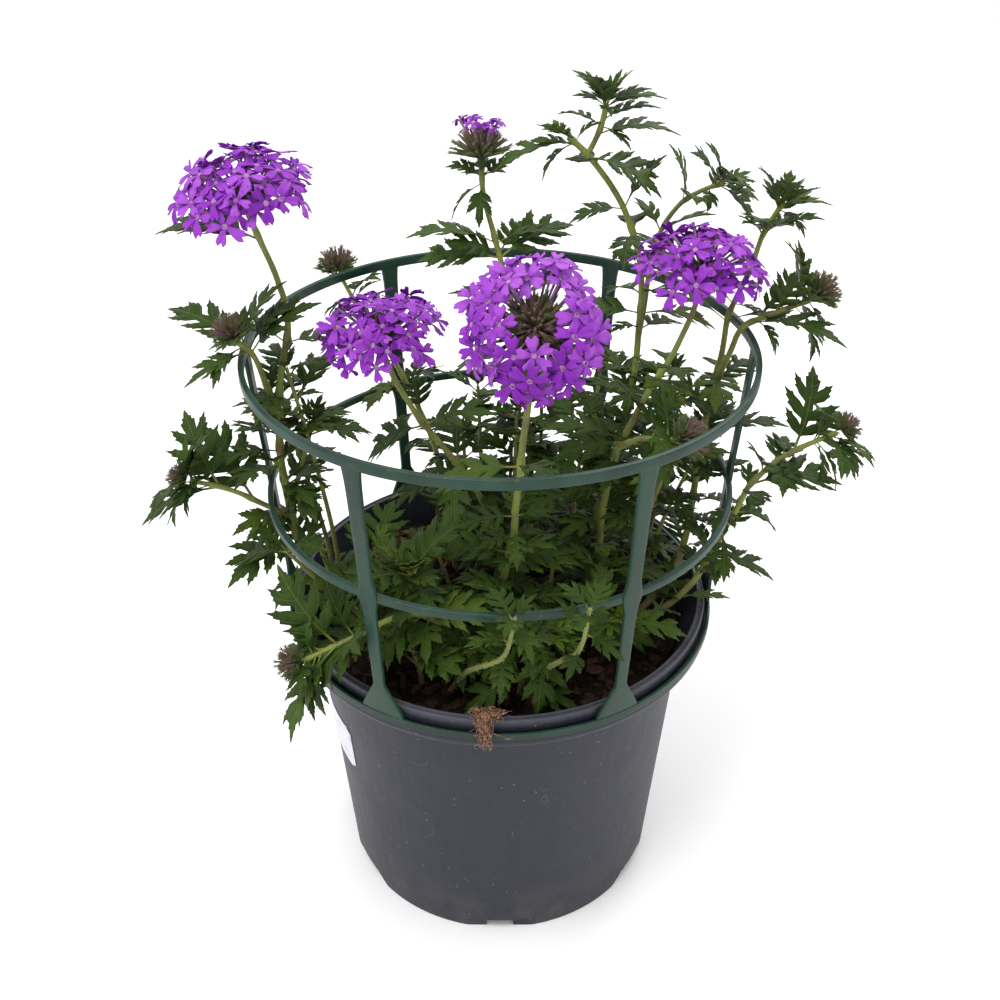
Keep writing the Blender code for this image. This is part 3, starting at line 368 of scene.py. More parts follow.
pot_finish = Finish("pot_plastic", Specular_IOR_Level=0.3)
spot = pot_finish.place()
height = pot_finish.split(spot, 2) * (1.0 / MM)
cloudy = pot_finish.noise(spot, 22.0, 4.0)
streaks = pot_finish.noise(pot_finish.stretched(spot, (260.0, 260.0, 9.0)), 1.0, 4.0)
scuffs = pot_finish.noise(pot_finish.stretched(spot, (60.0, 60.0, 520.0)), 1.0, 6.0, 0.7).rising(0.64, 0.7)
scuffs = scuffs * pot_finish.noise(spot, 26.0, 2.0).rising(0.48, 0.6)
specks = pot_finish.node("ShaderNodeTexVoronoi", inputs={"Vector": spot, "Scale": 190.0})
specks = (1.0 - specks.rising(0.05, 0.1)) * pot_finish.noise(spot, 60.0).rising(0.44, 0.5)
scratches = 1.0 - abs(pot_finish.noise(spot, 30.0, 2.0) - 0.5).rising(0.0, 0.004)
scratches = scratches * pot_finish.noise(spot, 48.0, 2.0).rising(0.57, 0.62)
low_dirt = (1.0 - height.rising(0.0, 34.0)) * pot_finish.noise(spot, 70.0, 5.0).rising(0.42, 0.7)
worn = (cloudy * 0.5 + streaks * 0.4 + scuffs * 0.45).clamped()
plastic = pot_finish.mixed(worn, POT_TINT, POT_TINT_WORN)
dusty = (specks * 0.8 + low_dirt * 0.3 + scratches * 0.3).clamped()
plastic = pot_finish.mixed(dusty, plastic, DUST_COLOUR)
# Painted highlight: the top of the rim is painted paler, broken up by the streaks, as the light falling on
# it makes it look.
plastic = pot_finish.mixed(height.rising(149.0, 153.5) * (0.35 + streaks * 0.5), plastic, RIM_PAINTED_HIGHLIGHT)
pot_finish.feed("Base Color", plastic)
pot_finish.feed("Roughness", 0.42 + cloudy * 0.16 + low_dirt * 0.2)
pot_finish.bump(pot_finish.noise(spot, 1500.0, 3.0), 0.00006)
pot_finish.bump(streaks, 0.00025)
pot_finish.bump(pot_finish.noise(spot, 34.0, 2.0), 0.0009)

inner_rim = RIM_RADIUS - RIM_WALL
floor_top = FLOOR_Z + WALL
pot_outline = [
    (0.0, WALL), (PAD_RADIUS - 1.0, WALL), (PAD_RADIUS + PAD_SLOPE - 1.0, floor_top),
    (wall_radius(floor_top) - WALL, floor_top), (BAND_FOOT_RADIUS - WALL, BAND_FOOT_Z),
    (inner_rim, POT_HEIGHT - 3.0), (inner_rim, POT_HEIGHT), (inner_rim + GROOVE_INSIDE, POT_HEIGHT),
    (inner_rim + GROOVE_INSIDE, POT_HEIGHT - GROOVE_DEPTH),
    (RIM_RADIUS - GROOVE_OUTSIDE, POT_HEIGHT - GROOVE_DEPTH),
    (RIM_RADIUS - GROOVE_OUTSIDE, POT_HEIGHT), (RIM_RADIUS, POT_HEIGHT),
    (RIM_RADIUS, POT_HEIGHT - RIM_DEPTH), (RIM_RADIUS - RIM_TAPER, SHOULDER_Z),
    (BAND_RADIUS, SHOULDER_Z),
    (BAND_RADIUS - 0.2, SHOULDER_Z - 2.6), (BAND_RADIUS - 1.6, SHOULDER_Z - 5.0),
    (BAND_FOOT_RADIUS, BAND_FOOT_Z), (wall_radius(WALL_JOINT_Z), WALL_JOINT_Z),
    (wall_radius(ABOVE_DRAINS), ABOVE_DRAINS),
    (BASE_RADIUS, 0.0), (BASE_RADIUS - FOOT_WALL, 0.0), (BASE_RADIUS - FOOT_WALL, FLOOR_Z),
    (PAD_RADIUS + PAD_SLOPE, FLOOR_Z), (PAD_RADIUS, 0.0), (0.0, 0.0),
]
pot = turned("nursery_pot", rounded(pot_outline, POT_ROUNDING), pot_finish)
cutters = []
for i in range(DRAINS):
    turn = math.radians(FIRST_DRAIN + 360.0 / DRAINS * i)
    middle = DRAIN_HEIGHT / 2.0 - 1.0
    slot = (SLOT_DEPTH, DRAIN_WIDTH, DRAIN_HEIGHT + 2.0)
    cutters.append(cutting_box(slot, (BASE_RADIUS - 1.0, 0.0, middle), turn))
    recess = (RECESS_DEPTH, RECESS_SPAN * DRAIN_WIDTH, DRAIN_HEIGHT + 1.0)
    cutters.append(cutting_box(recess, (BASE_RADIUS + 0.2, 0.0, middle), turn))
    bm = bmesh.new()
    bmesh.ops.create_cone(
        bm, cap_ends=True, segments=24, depth=8.0 * MM,
        radius1=DRAIN_HOLE_RADIUS * MM, radius2=DRAIN_HOLE_RADIUS * MM,
        matrix=Matrix.Translation(polar(DRAIN_HOLE_ORBIT, turn, FLOOR_Z + 1.0) * MM),
    )
    cutters.append(add_piece("drill", mesh_of("drill", bm)))
combined(pot, cutters, "DIFFERENCE")
smoothed(pot)
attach(pot, "root")
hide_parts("pot")

# ---- Soil ----------------------------------------------------------------------------------------
# Dark peat compost: a crumbled surface, loose crumbs on it, and lumps of bark banked up at the back
# left. Below the surface it fills the pot down to its floor.
SOIL_Z = 137.0
SOIL_SWELL = 3.5
SOIL_RADIUS = BAND_FOOT_RADIUS - WALL - GAP
EDGE_FADE = 6.0             # how far from the wall the soil's lumps start to level out
BANK_X, BANK_Y = -60.0, 36.0
BANK_HEIGHT = 10.0
BANK_SPREAD = 700.0
SOIL_RINGS = 56
SOIL_SPOKES = 180
CRUMBS = 1400
CRUMB_SIZES = (0.6, 0.8, 1.0, 1.4, 2.2, 2.8)
BARK_CHIPS = 150
BARK_X, BARK_Y = -52.0, 44.0
BARK_SCATTER = 14.0
LOOSE_BARK_REACH = 70.0
LUMP_TURN = 6.3             # the most that a lump is turned about Z, in radians
SOIL_DARK = (0.0025, 0.0018, 0.0015)
SOIL_LIGHT = (0.014, 0.0085, 0.006)
CRUMB_DARK = (0.008, 0.005, 0.004)
CRUMB_LIGHT = (0.05, 0.028, 0.019)
BARK_DARK = (0.02, 0.009, 0.006)
BARK_LIGHT = (0.11, 0.055, 0.034)


def soil_height(x, y):
    """The lie of the soil: low lumps and hollows, with a bank at the back left."""
    waves = (
        math.sin(0.17 * x + 1.3) * math.cos(0.21 * y + 0.4)
        + 0.6 * math.sin(0.37 * x - 0.29 * y)
        + 0.4 * math.cos(0.47 * y + 0.11 * x)
    )
    bank = BANK_HEIGHT * math.exp(-((x - BANK_X) ** 2 + (y - BANK_Y) ** 2) / BANK_SPREAD)
    return SOIL_Z + SOIL_SWELL * 0.5 * waves + bank


def crumbled(x, y):
    """The soil's height with its crumbs."""
    edge = min(1.0, max(0.0, (SOIL_RADIUS - math.hypot(x, y)) / EDGE_FADE))
    coarse = noise.noise(Vector((x, y, 0.0)) * 0.16)
    fine = noise.noise(Vector((x, y, 7.0)) * 0.55)
    lie = SOIL_Z + (soil_height(x, y) - SOIL_Z) * edge
    return lie + 1.5 * coarse + 0.9 * fine


def new_mesh(name, corners, faces):
    """A mesh from corners in metres and faces that number them."""
    mesh = bpy.data.meshes.new(name)
    mesh.from_pydata([tuple(co) for co in corners], [], [tuple(face) for face in faces])
    mesh.validate()
    return mesh


def soil_finish(name, dark, light, grain):
    """The finish of peat or bark: dark and light grains of a size, and pale flecks."""
    finish = Finish(name, Roughness=0.95, Specular_IOR_Level=0.1)
    where = finish.place()
    tone = finish.noise(where, grain, 6.0, 0.65)
    flecks = finish.noise(where, 2.6 * grain, 2.0).rising(0.64, 0.72)
    body = finish.ramp(tone, (0.3, dark), (0.55, light), (0.72, dark))
    finish.feed("Base Color", finish.mixed(flecks * 0.6, body, BARK_LIGHT))
    finish.feed("Roughness", 0.8 + tone * 0.2)
    finish.bump(finish.noise(where, 5.0 * grain, 5.0, 0.7), 0.0007)
    return finish


compost = soil_finish("potting_soil", SOIL_DARK, SOIL_LIGHT, 260.0)
corners = [(0.0, 0.0, crumbled(0.0, 0.0) * MM)]
for ring_number in range(1, SOIL_RINGS + 1):
    reach = SOIL_RADIUS * ring_number / SOIL_RINGS
    for spoke in range(SOIL_SPOKES):
        angle = 2.0 * math.pi * spoke / SOIL_SPOKES
        x, y = reach * math.cos(angle), reach * math.sin(angle)
        corners.append((x * MM, y * MM, crumbled(x, y) * MM))
bottom = floor_top + GAP
for low_radius, low_z in ((SOIL_RADIUS, BAND_FOOT_Z), (wall_radius(bottom) - WALL - GAP, bottom)):
    for spoke in range(SOIL_SPOKES):
        corners.append(polar(low_radius, 2.0 * math.pi * spoke / SOIL_SPOKES, low_z) * MM)
corners.append((0.0, 0.0, bottom * MM))
faces = []
for spoke in range(SOIL_SPOKES):
    after = (spoke + 1) % SOIL_SPOKES
    faces.append((0, 1 + spoke, 1 + after))
    for ring_number in range(SOIL_RINGS + 1):
        near = 1 + ring_number * SOIL_SPOKES
        far = near + SOIL_SPOKES
        faces.append((near + spoke, far + spoke, far + after, near + after))
    last = 1 + (SOIL_RINGS + 1) * SOIL_SPOKES
    faces.append((last + spoke, len(corners) - 1, last + after))
soil = smoothed(add_piece("compost", new_mesh("compost", corners, faces), compost), 180.0)
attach(soil, "root")
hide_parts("soil")


def lump(place, size, rough, rng):
    """Corners and faces of a small broken lump."""
    bm = bmesh.new()
    bmesh.ops.create_icosphere(bm, subdivisions=1 if max(size) < 4.0 else 2, radius=1.0)
    spin, tip = rng.uniform(0.0, LUMP_TURN), rng.gauss(0.0, 0.4)
    turn = Matrix.Rotation(spin, 3, "Z") @ Matrix.Rotation(tip, 3, "X")
    shift = Vector((rng.uniform(0, 99), rng.uniform(0, 99), rng.uniform(0, 99)))
    out = []
    for vertex in bm.verts:
        swell = 1.0 + rough * noise.noise(vertex.co * 1.7 + shift)
        spread = Vector(c * s * swell for c, s in zip(vertex.co, size))
        out.append((turn @ spread + place) * MM)
    faces_of = [[v.index for v in face.verts] for face in bm.faces]
    bm.free()
    return out, faces_of


def gathered(name, lumps, finish):
    """One piece from many small (corners, faces) pairs."""
    corners, faces = [], []
    for points, sides in lumps:
        start = len(corners)
        corners += points
        faces += [[start + i for i in side] for side in sides]
    return add_piece(name, new_mesh(name, corners, faces), finish)


rng = random.Random(11)
crumbs = []
for _ in range(CRUMBS):
    reach = (SOIL_RADIUS - 3.0) * math.sqrt(rng.random())
    angle = rng.uniform(0.0, 2.0 * math.pi)
    x, y = reach * math.cos(angle), reach * math.sin(angle)
    size = rng.choice(CRUMB_SIZES)
    shape = (size * rng.uniform(0.7, 1.6), size * rng.uniform(0.6, 1.0), size * rng.uniform(0.4, 0.8))
    crumbs.append(lump(Vector((x, y, crumbled(x, y) + 0.2 * size)), shape, 0.8, rng))
crumb_piece = gathered("compost_crumbs", crumbs, soil_finish("crumbs", CRUMB_DARK, CRUMB_LIGHT, 420.0))
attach(crumb_piece, "root")
chips = []
for i in range(BARK_CHIPS):
    if i % 4:
        x, y = rng.gauss(BARK_X, BARK_SCATTER), rng.gauss(BARK_Y, BARK_SCATTER)
    else:
        x, y = polar(LOOSE_BARK_REACH * math.sqrt(rng.random()), rng.uniform(0.0, LUMP_TURN), 0.0).xy
    if math.hypot(x, y) > SOIL_RADIUS - 9.0:
        continue
    size = rng.uniform(1.6, 5.5)
    shape = (size, size * rng.uniform(0.4, 0.7), size * rng.uniform(0.25, 0.45))
    chips.append(lump(Vector((x, y, crumbled(x, y) + 0.25 * size)), shape, 0.7, rng))
bark = gathered("bark_chips", chips, soil_finish("bark", BARK_DARK, BARK_LIGHT, 190.0))
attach(bark, "root")

# ---- Ring support --------------------------------------------------------------------------------
# One injection moulding in tough dark green plastic: a collar that drops over the pot's rim onto its
# shoulder, two hoops, and six flat uprights that flare into feet on the collar.
CAGE_RADIUS = 98.0
COLLAR_TOP = 147.7
COLLAR_SHEET = 1.4
MID_RING_Z = 210.5
MID_RING_RADIUS = 101.8
MID_RING_HEIGHT = 3.6
TOP_RING_Z = 275.2
TOP_RING_RADIUS = 107.5
TOP_RING_HEIGHT = 4.4
RING_THICKNESS = 2.4
RING_ROUNDING = 0.6
UPRIGHTS = 6
UPRIGHT_ROWS = 60
UPRIGHT_COLUMNS = 5
# Half widths of an upright: its neck, what its foot and its two swellings add, and the most it has.
NECK_HALF = 2.5
FOOT_HALF = 7.6
FOOT_RISE = 15.0
MIDDLE_SWELL = 1.5
TOP_SWELL = 2.0
SWELL_REACH = 5.0
TOP_WIDENING = 1.0
WIDEST_HALF = 10.6
UPRIGHT_INSET = 0.25        # how far an upright's face lies inside that of the hoops
UPRIGHT_SHEET = 0.6         # how much thinner than the hoops it is
UPRIGHT_EDGE = 0.45
COLLAR_WALL = 1.5
COLLAR_ROUNDING = 0.4
CAGE_TINT = (0.006, 0.027, 0.016)
CAGE_TINT_PALE = (0.018, 0.06, 0.04)
# The colour of the painted shade on the collar's floor, under its lip.
CHANNEL_PAINTED_SHADE = (0.004, 0.012, 0.008)

cage_finish = Finish("support_plastic", Specular_IOR_Level=0.35)
spot = cage_finish.place()
flow = cage_finish.noise(cage_finish.stretched(spot, (60.0, 60.0, 14.0)), 1.0, 4.0)
grime = cage_finish.noise(spot, 420.0, 4.0).rising(0.62, 0.78)
green = cage_finish.mixed(flow.rising(0.35, 0.75), CAGE_TINT, CAGE_TINT_PALE)
# Painted shade: below the collar's lip, its floor and the foot of its outer face are darkened as the
# shadow there would darken them.
painted_collar_shade = 1.0 - (cage_finish.split(spot, 2) * (1.0 / MM)).rising(146.0, 147.0)
green = cage_finish.mixed(painted_collar_shade * 0.6, green, CHANNEL_PAINTED_SHADE)
cage_finish.feed("Base Color", cage_finish.mixed(grime * 0.3, green, DUST_COLOUR))
cage_finish.feed("Roughness", 0.33 + flow * 0.16 + grime * 0.2)
cage_finish.bump(cage_finish.noise(spot, 1100.0, 3.0), 0.00008)
cage_finish.bump(flow, 0.0003)


def cage_radius(z):
    """The support's outer radius, which widens evenly from its collar to its top hoop."""
    return CAGE_RADIUS + (TOP_RING_RADIUS - CAGE_RADIUS) * (z - COLLAR_TOP) / (TOP_RING_Z - COLLAR_TOP)


def hoop(name, outer, top, height):
    """A flat hoop of the support, from its outer radius and its top edge."""
    inner = outer - RING_THICKNESS
    corners = [(inner, top - height / 2.0), (inner, top), (outer, top), (outer, top - height),
               (inner, top - height), (inner, top - height / 2.0)]
    return turned(name, rounded(corners, RING_ROUNDING)[:-1], cage_finish, closed=True)


def upright_half(z):
    """Half width of an upright at a height: a foot, a slim neck, and a swelling at each hoop."""
    foot = FOOT_HALF * min(1.0, max(0.0, 1.0 - (z - COLLAR_TOP - 0.8) / FOOT_RISE))
    middle = MIDDLE_SWELL * math.exp(-((z - MID_RING_Z) / SWELL_REACH) ** 2)
    widening = TOP_WIDENING * (z - COLLAR_TOP) / (TOP_RING_Z - COLLAR_TOP)
    top = widening + TOP_SWELL * math.exp(-((TOP_RING_Z - z) / SWELL_REACH))
    return NECK_HALF + foot + middle + top


def thickened(piece, thickness, offset, material_offset=0):
    """The sheet given its thickness: inwards at -1, both ways at 0 and outwards at 1."""
    solid = piece.modifiers.new("thickness", "SOLIDIFY")
    solid.thickness = thickness * MM
    solid.offset = offset
    solid.material_offset = material_offset
    return piece


def upright(angle):
    """One upright of the support, standing at an angle from X."""
    low, high = COLLAR_TOP - 1.5, TOP_RING_Z - 1.0
    bm = bmesh.new()
    rows = []
    for i in range(UPRIGHT_ROWS + 1):
        z = low + (high - low) * i / UPRIGHT_ROWS
        half = min(upright_half(z), WIDEST_HALF)
        reach = cage_radius(z) - UPRIGHT_INSET
        row = []
        for j in range(UPRIGHT_COLUMNS):
            side = half * (2.0 * j / (UPRIGHT_COLUMNS - 1) - 1.0)
            row.append(bm.verts.new((math.sqrt(reach ** 2 - side ** 2) * MM, side * MM, z * MM)))
        rows.append(row)
    for row, above in zip(rows, rows[1:]):
        for j in range(UPRIGHT_COLUMNS - 1):
            bm.faces.new((row[j], row[j + 1], above[j + 1], above[j]))
    bmesh.ops.rotate(bm, verts=bm.verts, matrix=Matrix.Rotation(angle, 3, "Z"))
    strip = add_piece("upright", mesh_of("upright", bm), cage_finish)
    thickened(strip, RING_THICKNESS - UPRIGHT_SHEET, -1.0)
    edge = strip.modifiers.new("soft edges", "BEVEL")
    edge.width = UPRIGHT_EDGE * MM
    edge.segments = 2
    edge.limit_method = "ANGLE"
    edge.angle_limit = math.radians(50.0)
    return settled(strip)


collar_floor = SHOULDER_Z + GAP + COLLAR_SHEET
collar_inner = RIM_RADIUS + GAP
collar_wall = CAGE_RADIUS - COLLAR_WALL
collar = turned("ring_support_piece", rounded([
    (collar_inner, SHOULDER_Z + 1.0), (collar_inner, collar_floor), (collar_wall, collar_floor),
    (collar_wall, COLLAR_TOP), (CAGE_RADIUS, COLLAR_TOP), (CAGE_RADIUS, SHOULDER_Z + GAP),
    (collar_inner, SHOULDER_Z + GAP), (collar_inner, SHOULDER_Z + 1.0),
], COLLAR_ROUNDING)[:-1], cage_finish, closed=True)
strips = [upright(math.radians(360.0 / UPRIGHTS * i)) for i in range(UPRIGHTS)]
hoops = [
    hoop("middle_hoop", MID_RING_RADIUS, MID_RING_Z + MID_RING_HEIGHT / 2.0, MID_RING_HEIGHT),
    hoop("top_hoop", TOP_RING_RADIUS, TOP_RING_Z, TOP_RING_HEIGHT),
]
combined(collar, hoops + strips, "UNION")
smoothed(collar, 40.0)
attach(collar, "root")
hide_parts("ring_support")

# ---- Label ---------------------------------------------------------------------------------------
# A white film label stuck round the left of the wall. It is bare, a little creased and soiled.
LABEL_LOW, LABEL_HIGH = 76.5, 102.0
LABEL_FROM, LABEL_TO = math.radians(188.0), math.radians(214.5)
LABEL_COLUMNS, LABEL_ROWS = 36, 30
FILM_SHEET = 0.18
FILM_LIFT = 0.13            # off the wall
FILM_CREASE = 0.12
CORNER_LIFT = 0.5           # of the upper far corner, which has started to peel
FILM_TINT = (0.6, 0.6, 0.67)
FILM_SOILED = (0.3, 0.3, 0.34)

label_finish = Finish("label_film", Roughness=0.38, Coat_Weight=0.2)
spot = label_finish.place()
soiling = label_finish.noise(spot, 160.0, 5.0).rising(0.5, 0.8)
label_finish.feed("Base Color", label_finish.mixed(soiling * 0.6, FILM_TINT, FILM_SOILED))
label_finish.feed("Roughness", 0.3 + soiling * 0.3)
label_finish.bump(label_finish.noise(label_finish.stretched(spot, (90.0, 90.0, 25.0)), 1.0), 0.0006)
corners = []
for j in range(LABEL_ROWS + 1):
    for i in range(LABEL_COLUMNS + 1):
        across, up = i / LABEL_COLUMNS, j / LABEL_ROWS
        z = LABEL_LOW + (LABEL_HIGH - LABEL_LOW) * up
        trim = max(0.0, abs(across - 0.5) - 0.42) * max(0.0, abs(up - 0.5) - 0.42) * 40.0
        across = 0.5 + (across - 0.5) * (1.0 - trim)
        crease = FILM_CREASE * noise.noise(Vector((9.0 * across, 5.0 * up, 3.0)))
        lift = CORNER_LIFT * max(0.0, across + up - 1.72) ** 2
        reach = wall_radius(z) + FILM_LIFT + crease + lift
        corners.append(polar(reach, LABEL_FROM + (LABEL_TO - LABEL_FROM) * across, z) * MM)
faces = []
for j in range(LABEL_ROWS):
    for i in range(LABEL_COLUMNS):
        a = j * (LABEL_COLUMNS + 1) + i
        faces.append((a, a + 1, a + LABEL_COLUMNS + 2, a + LABEL_COLUMNS + 1))
label = add_piece("film_label", new_mesh("film_label", corners, faces), label_finish)
smoothed(settled(thickened(label, FILM_SHEET, 1.0)), 60.0)
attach(label, "root")
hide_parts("label")

# ---- Coir tuft -----------------------------------------------------------------------------------
# A frayed tuft of coconut fibre that lies over the rim at the front, with loose ends down the wall.
COIR_FIBRES = 120
COIR_MIDDLE = math.radians(-93.5)
COIR_POINTS = 15
# The tuft's way over the rim, as (radius, height) points, and the point past which it hangs outside.
COIR_PATH = ((86.5, 147.5), (91.0, 155.0), (95.2, 154.6), (99.8, 148.5), (98.8, 143.0), (97.6, 136.0))
COIR_OUTSIDE = 2.5
COIR_DARK, COIR_BROWN, COIR_PALE = (0.03, 0.013, 0.008), (0.19, 0.09, 0.05), (0.42, 0.23, 0.135)

coir_finish = Finish("coir_fibre", Roughness=0.85)
spot = coir_finish.place()
strand = coir_finish.noise(spot, 900.0, 3.0)
coir_finish.feed("Base Color", coir_finish.ramp(
    strand, (0.34, COIR_DARK), (0.5, COIR_BROWN), (0.64, COIR_PALE)))
coir_finish.feed("Roughness", 0.7 + strand * 0.25)
coir_finish.bump(coir_finish.noise(spot, 3000.0, 2.0), 0.0001)


def swept(points, radii, sides):
    """Corners and faces of a capped tube along points given in millimetres."""
    corners, faces = [], []
    heading = (points[1] - points[0]).normalized()
    across = heading.orthogonal().normalized()
    for i, (point, radius) in enumerate(zip(points, radii)):
        ahead = points[min(i + 1, len(points) - 1)] - points[max(i - 1, 0)]
        if ahead.length > 1e-6:
            heading = ahead.normalized()
        across = (across - heading * across.dot(heading)).normalized()
        other = heading.cross(across)
        for k in range(sides):
            turn = 2.0 * math.pi * k / sides
            corners.append((
                point + across * radius * math.cos(turn) + other * radius * math.sin(turn)
            ) * MM)
    for i in range(len(points) - 1):
        for k in range(sides):
            a, b = i * sides + k, i * sides + (k + 1) % sides
            faces.append((a, b, b + sides, a + sides))
    faces.append(tuple(reversed(range(sides))))
    faces.append(tuple(range(len(corners) - sides, len(corners))))
    return corners, faces


rng = random.Random(5)
strands = []
for i in range(COIR_FIBRES):
    hangs = i % 3 == 0
    first = rng.uniform(0.6, 2.4)
    last = rng.uniform(2.9, 4.5) if hangs else first + rng.uniform(-0.8, 0.9)
    near, far = rng.gauss(0.0, 1.4), rng.gauss(0.2, 1.0 if hangs else 2.6)
    fluff = rng.uniform(0.2, 2.0)
    points = []
    for k in range(COIR_POINTS):
        t = k / (COIR_POINTS - 1.0)
        share = min(max(first + (last - first) * t, 0.0), 4.99)
        j = int(share)
        (r0, z0), (r1, z1) = COIR_PATH[j:j + 2]
        wander = [1.7 * noise.noise(Vector((0.33 * k, 1.9 * i, 7.0 * axis))) for axis in range(3)]
        lift = fluff * math.sin(math.pi * t) ** 0.7 + 0.3
        angle = COIR_MIDDLE + math.radians(near + (far - near) * t + 0.6 * wander[0])
        outside = share > COIR_OUTSIDE
        reach = r0 + (r1 - r0) * (share - j) + 0.4 * abs(wander[1]) + (lift if outside else 0.3 * lift)
        z = z0 + (z1 - z0) * (share - j) + 0.6 * wander[2]
        points.append(polar(reach, angle, z if outside else z + 0.8 * abs(wander[2]) + 0.7 * lift))
    strands.append(swept(points, [rng.uniform(0.1, 0.22)] * len(points), 5))
coir = gathered("coir_fibres", strands, coir_finish)
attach(coir, "root")
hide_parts("coir_tuft")

# ---- Stems ---------------------------------------------------------------------------------------
# Downy green stems, flushed purple in patches and woody towards the soil. A stem is a list of
# shoots, the later ones springing from the first: its route, its half thickness at foot and tip, its
# leaf pairs (share of the way along, turn about the stem, length, rise above square to the stem) and
# its other leaves (share, bearing from X, rise above level, length). Angles are in degrees.
STEM_SIDES = 10
STEM_SPACING = 2.6
STEM_SHARE = 0.92           # of its half thickness between nodes
NODE_SWELL = 0.3
NODE_REACH = 2.6
SWAY = 0.5
FULL_TURN = 6.283           # in radians
HAIR_WIDTH = 0.05
HAIR_CORNERS = (0.0, 2.09, 4.19)
DOWN_PER_MM = 5.0
STEM_YOUNG = (0.2, 0.24, 0.045)
STEM_OLD = (0.1, 0.07, 0.035)
STEM_FLUSH = (0.12, 0.06, 0.04)
STEM_BARK = (0.2, 0.15, 0.085)
HAIR_COLOUR = (0.5, 0.52, 0.42)
HAIR_SHADED = (0.3, 0.33, 0.22)
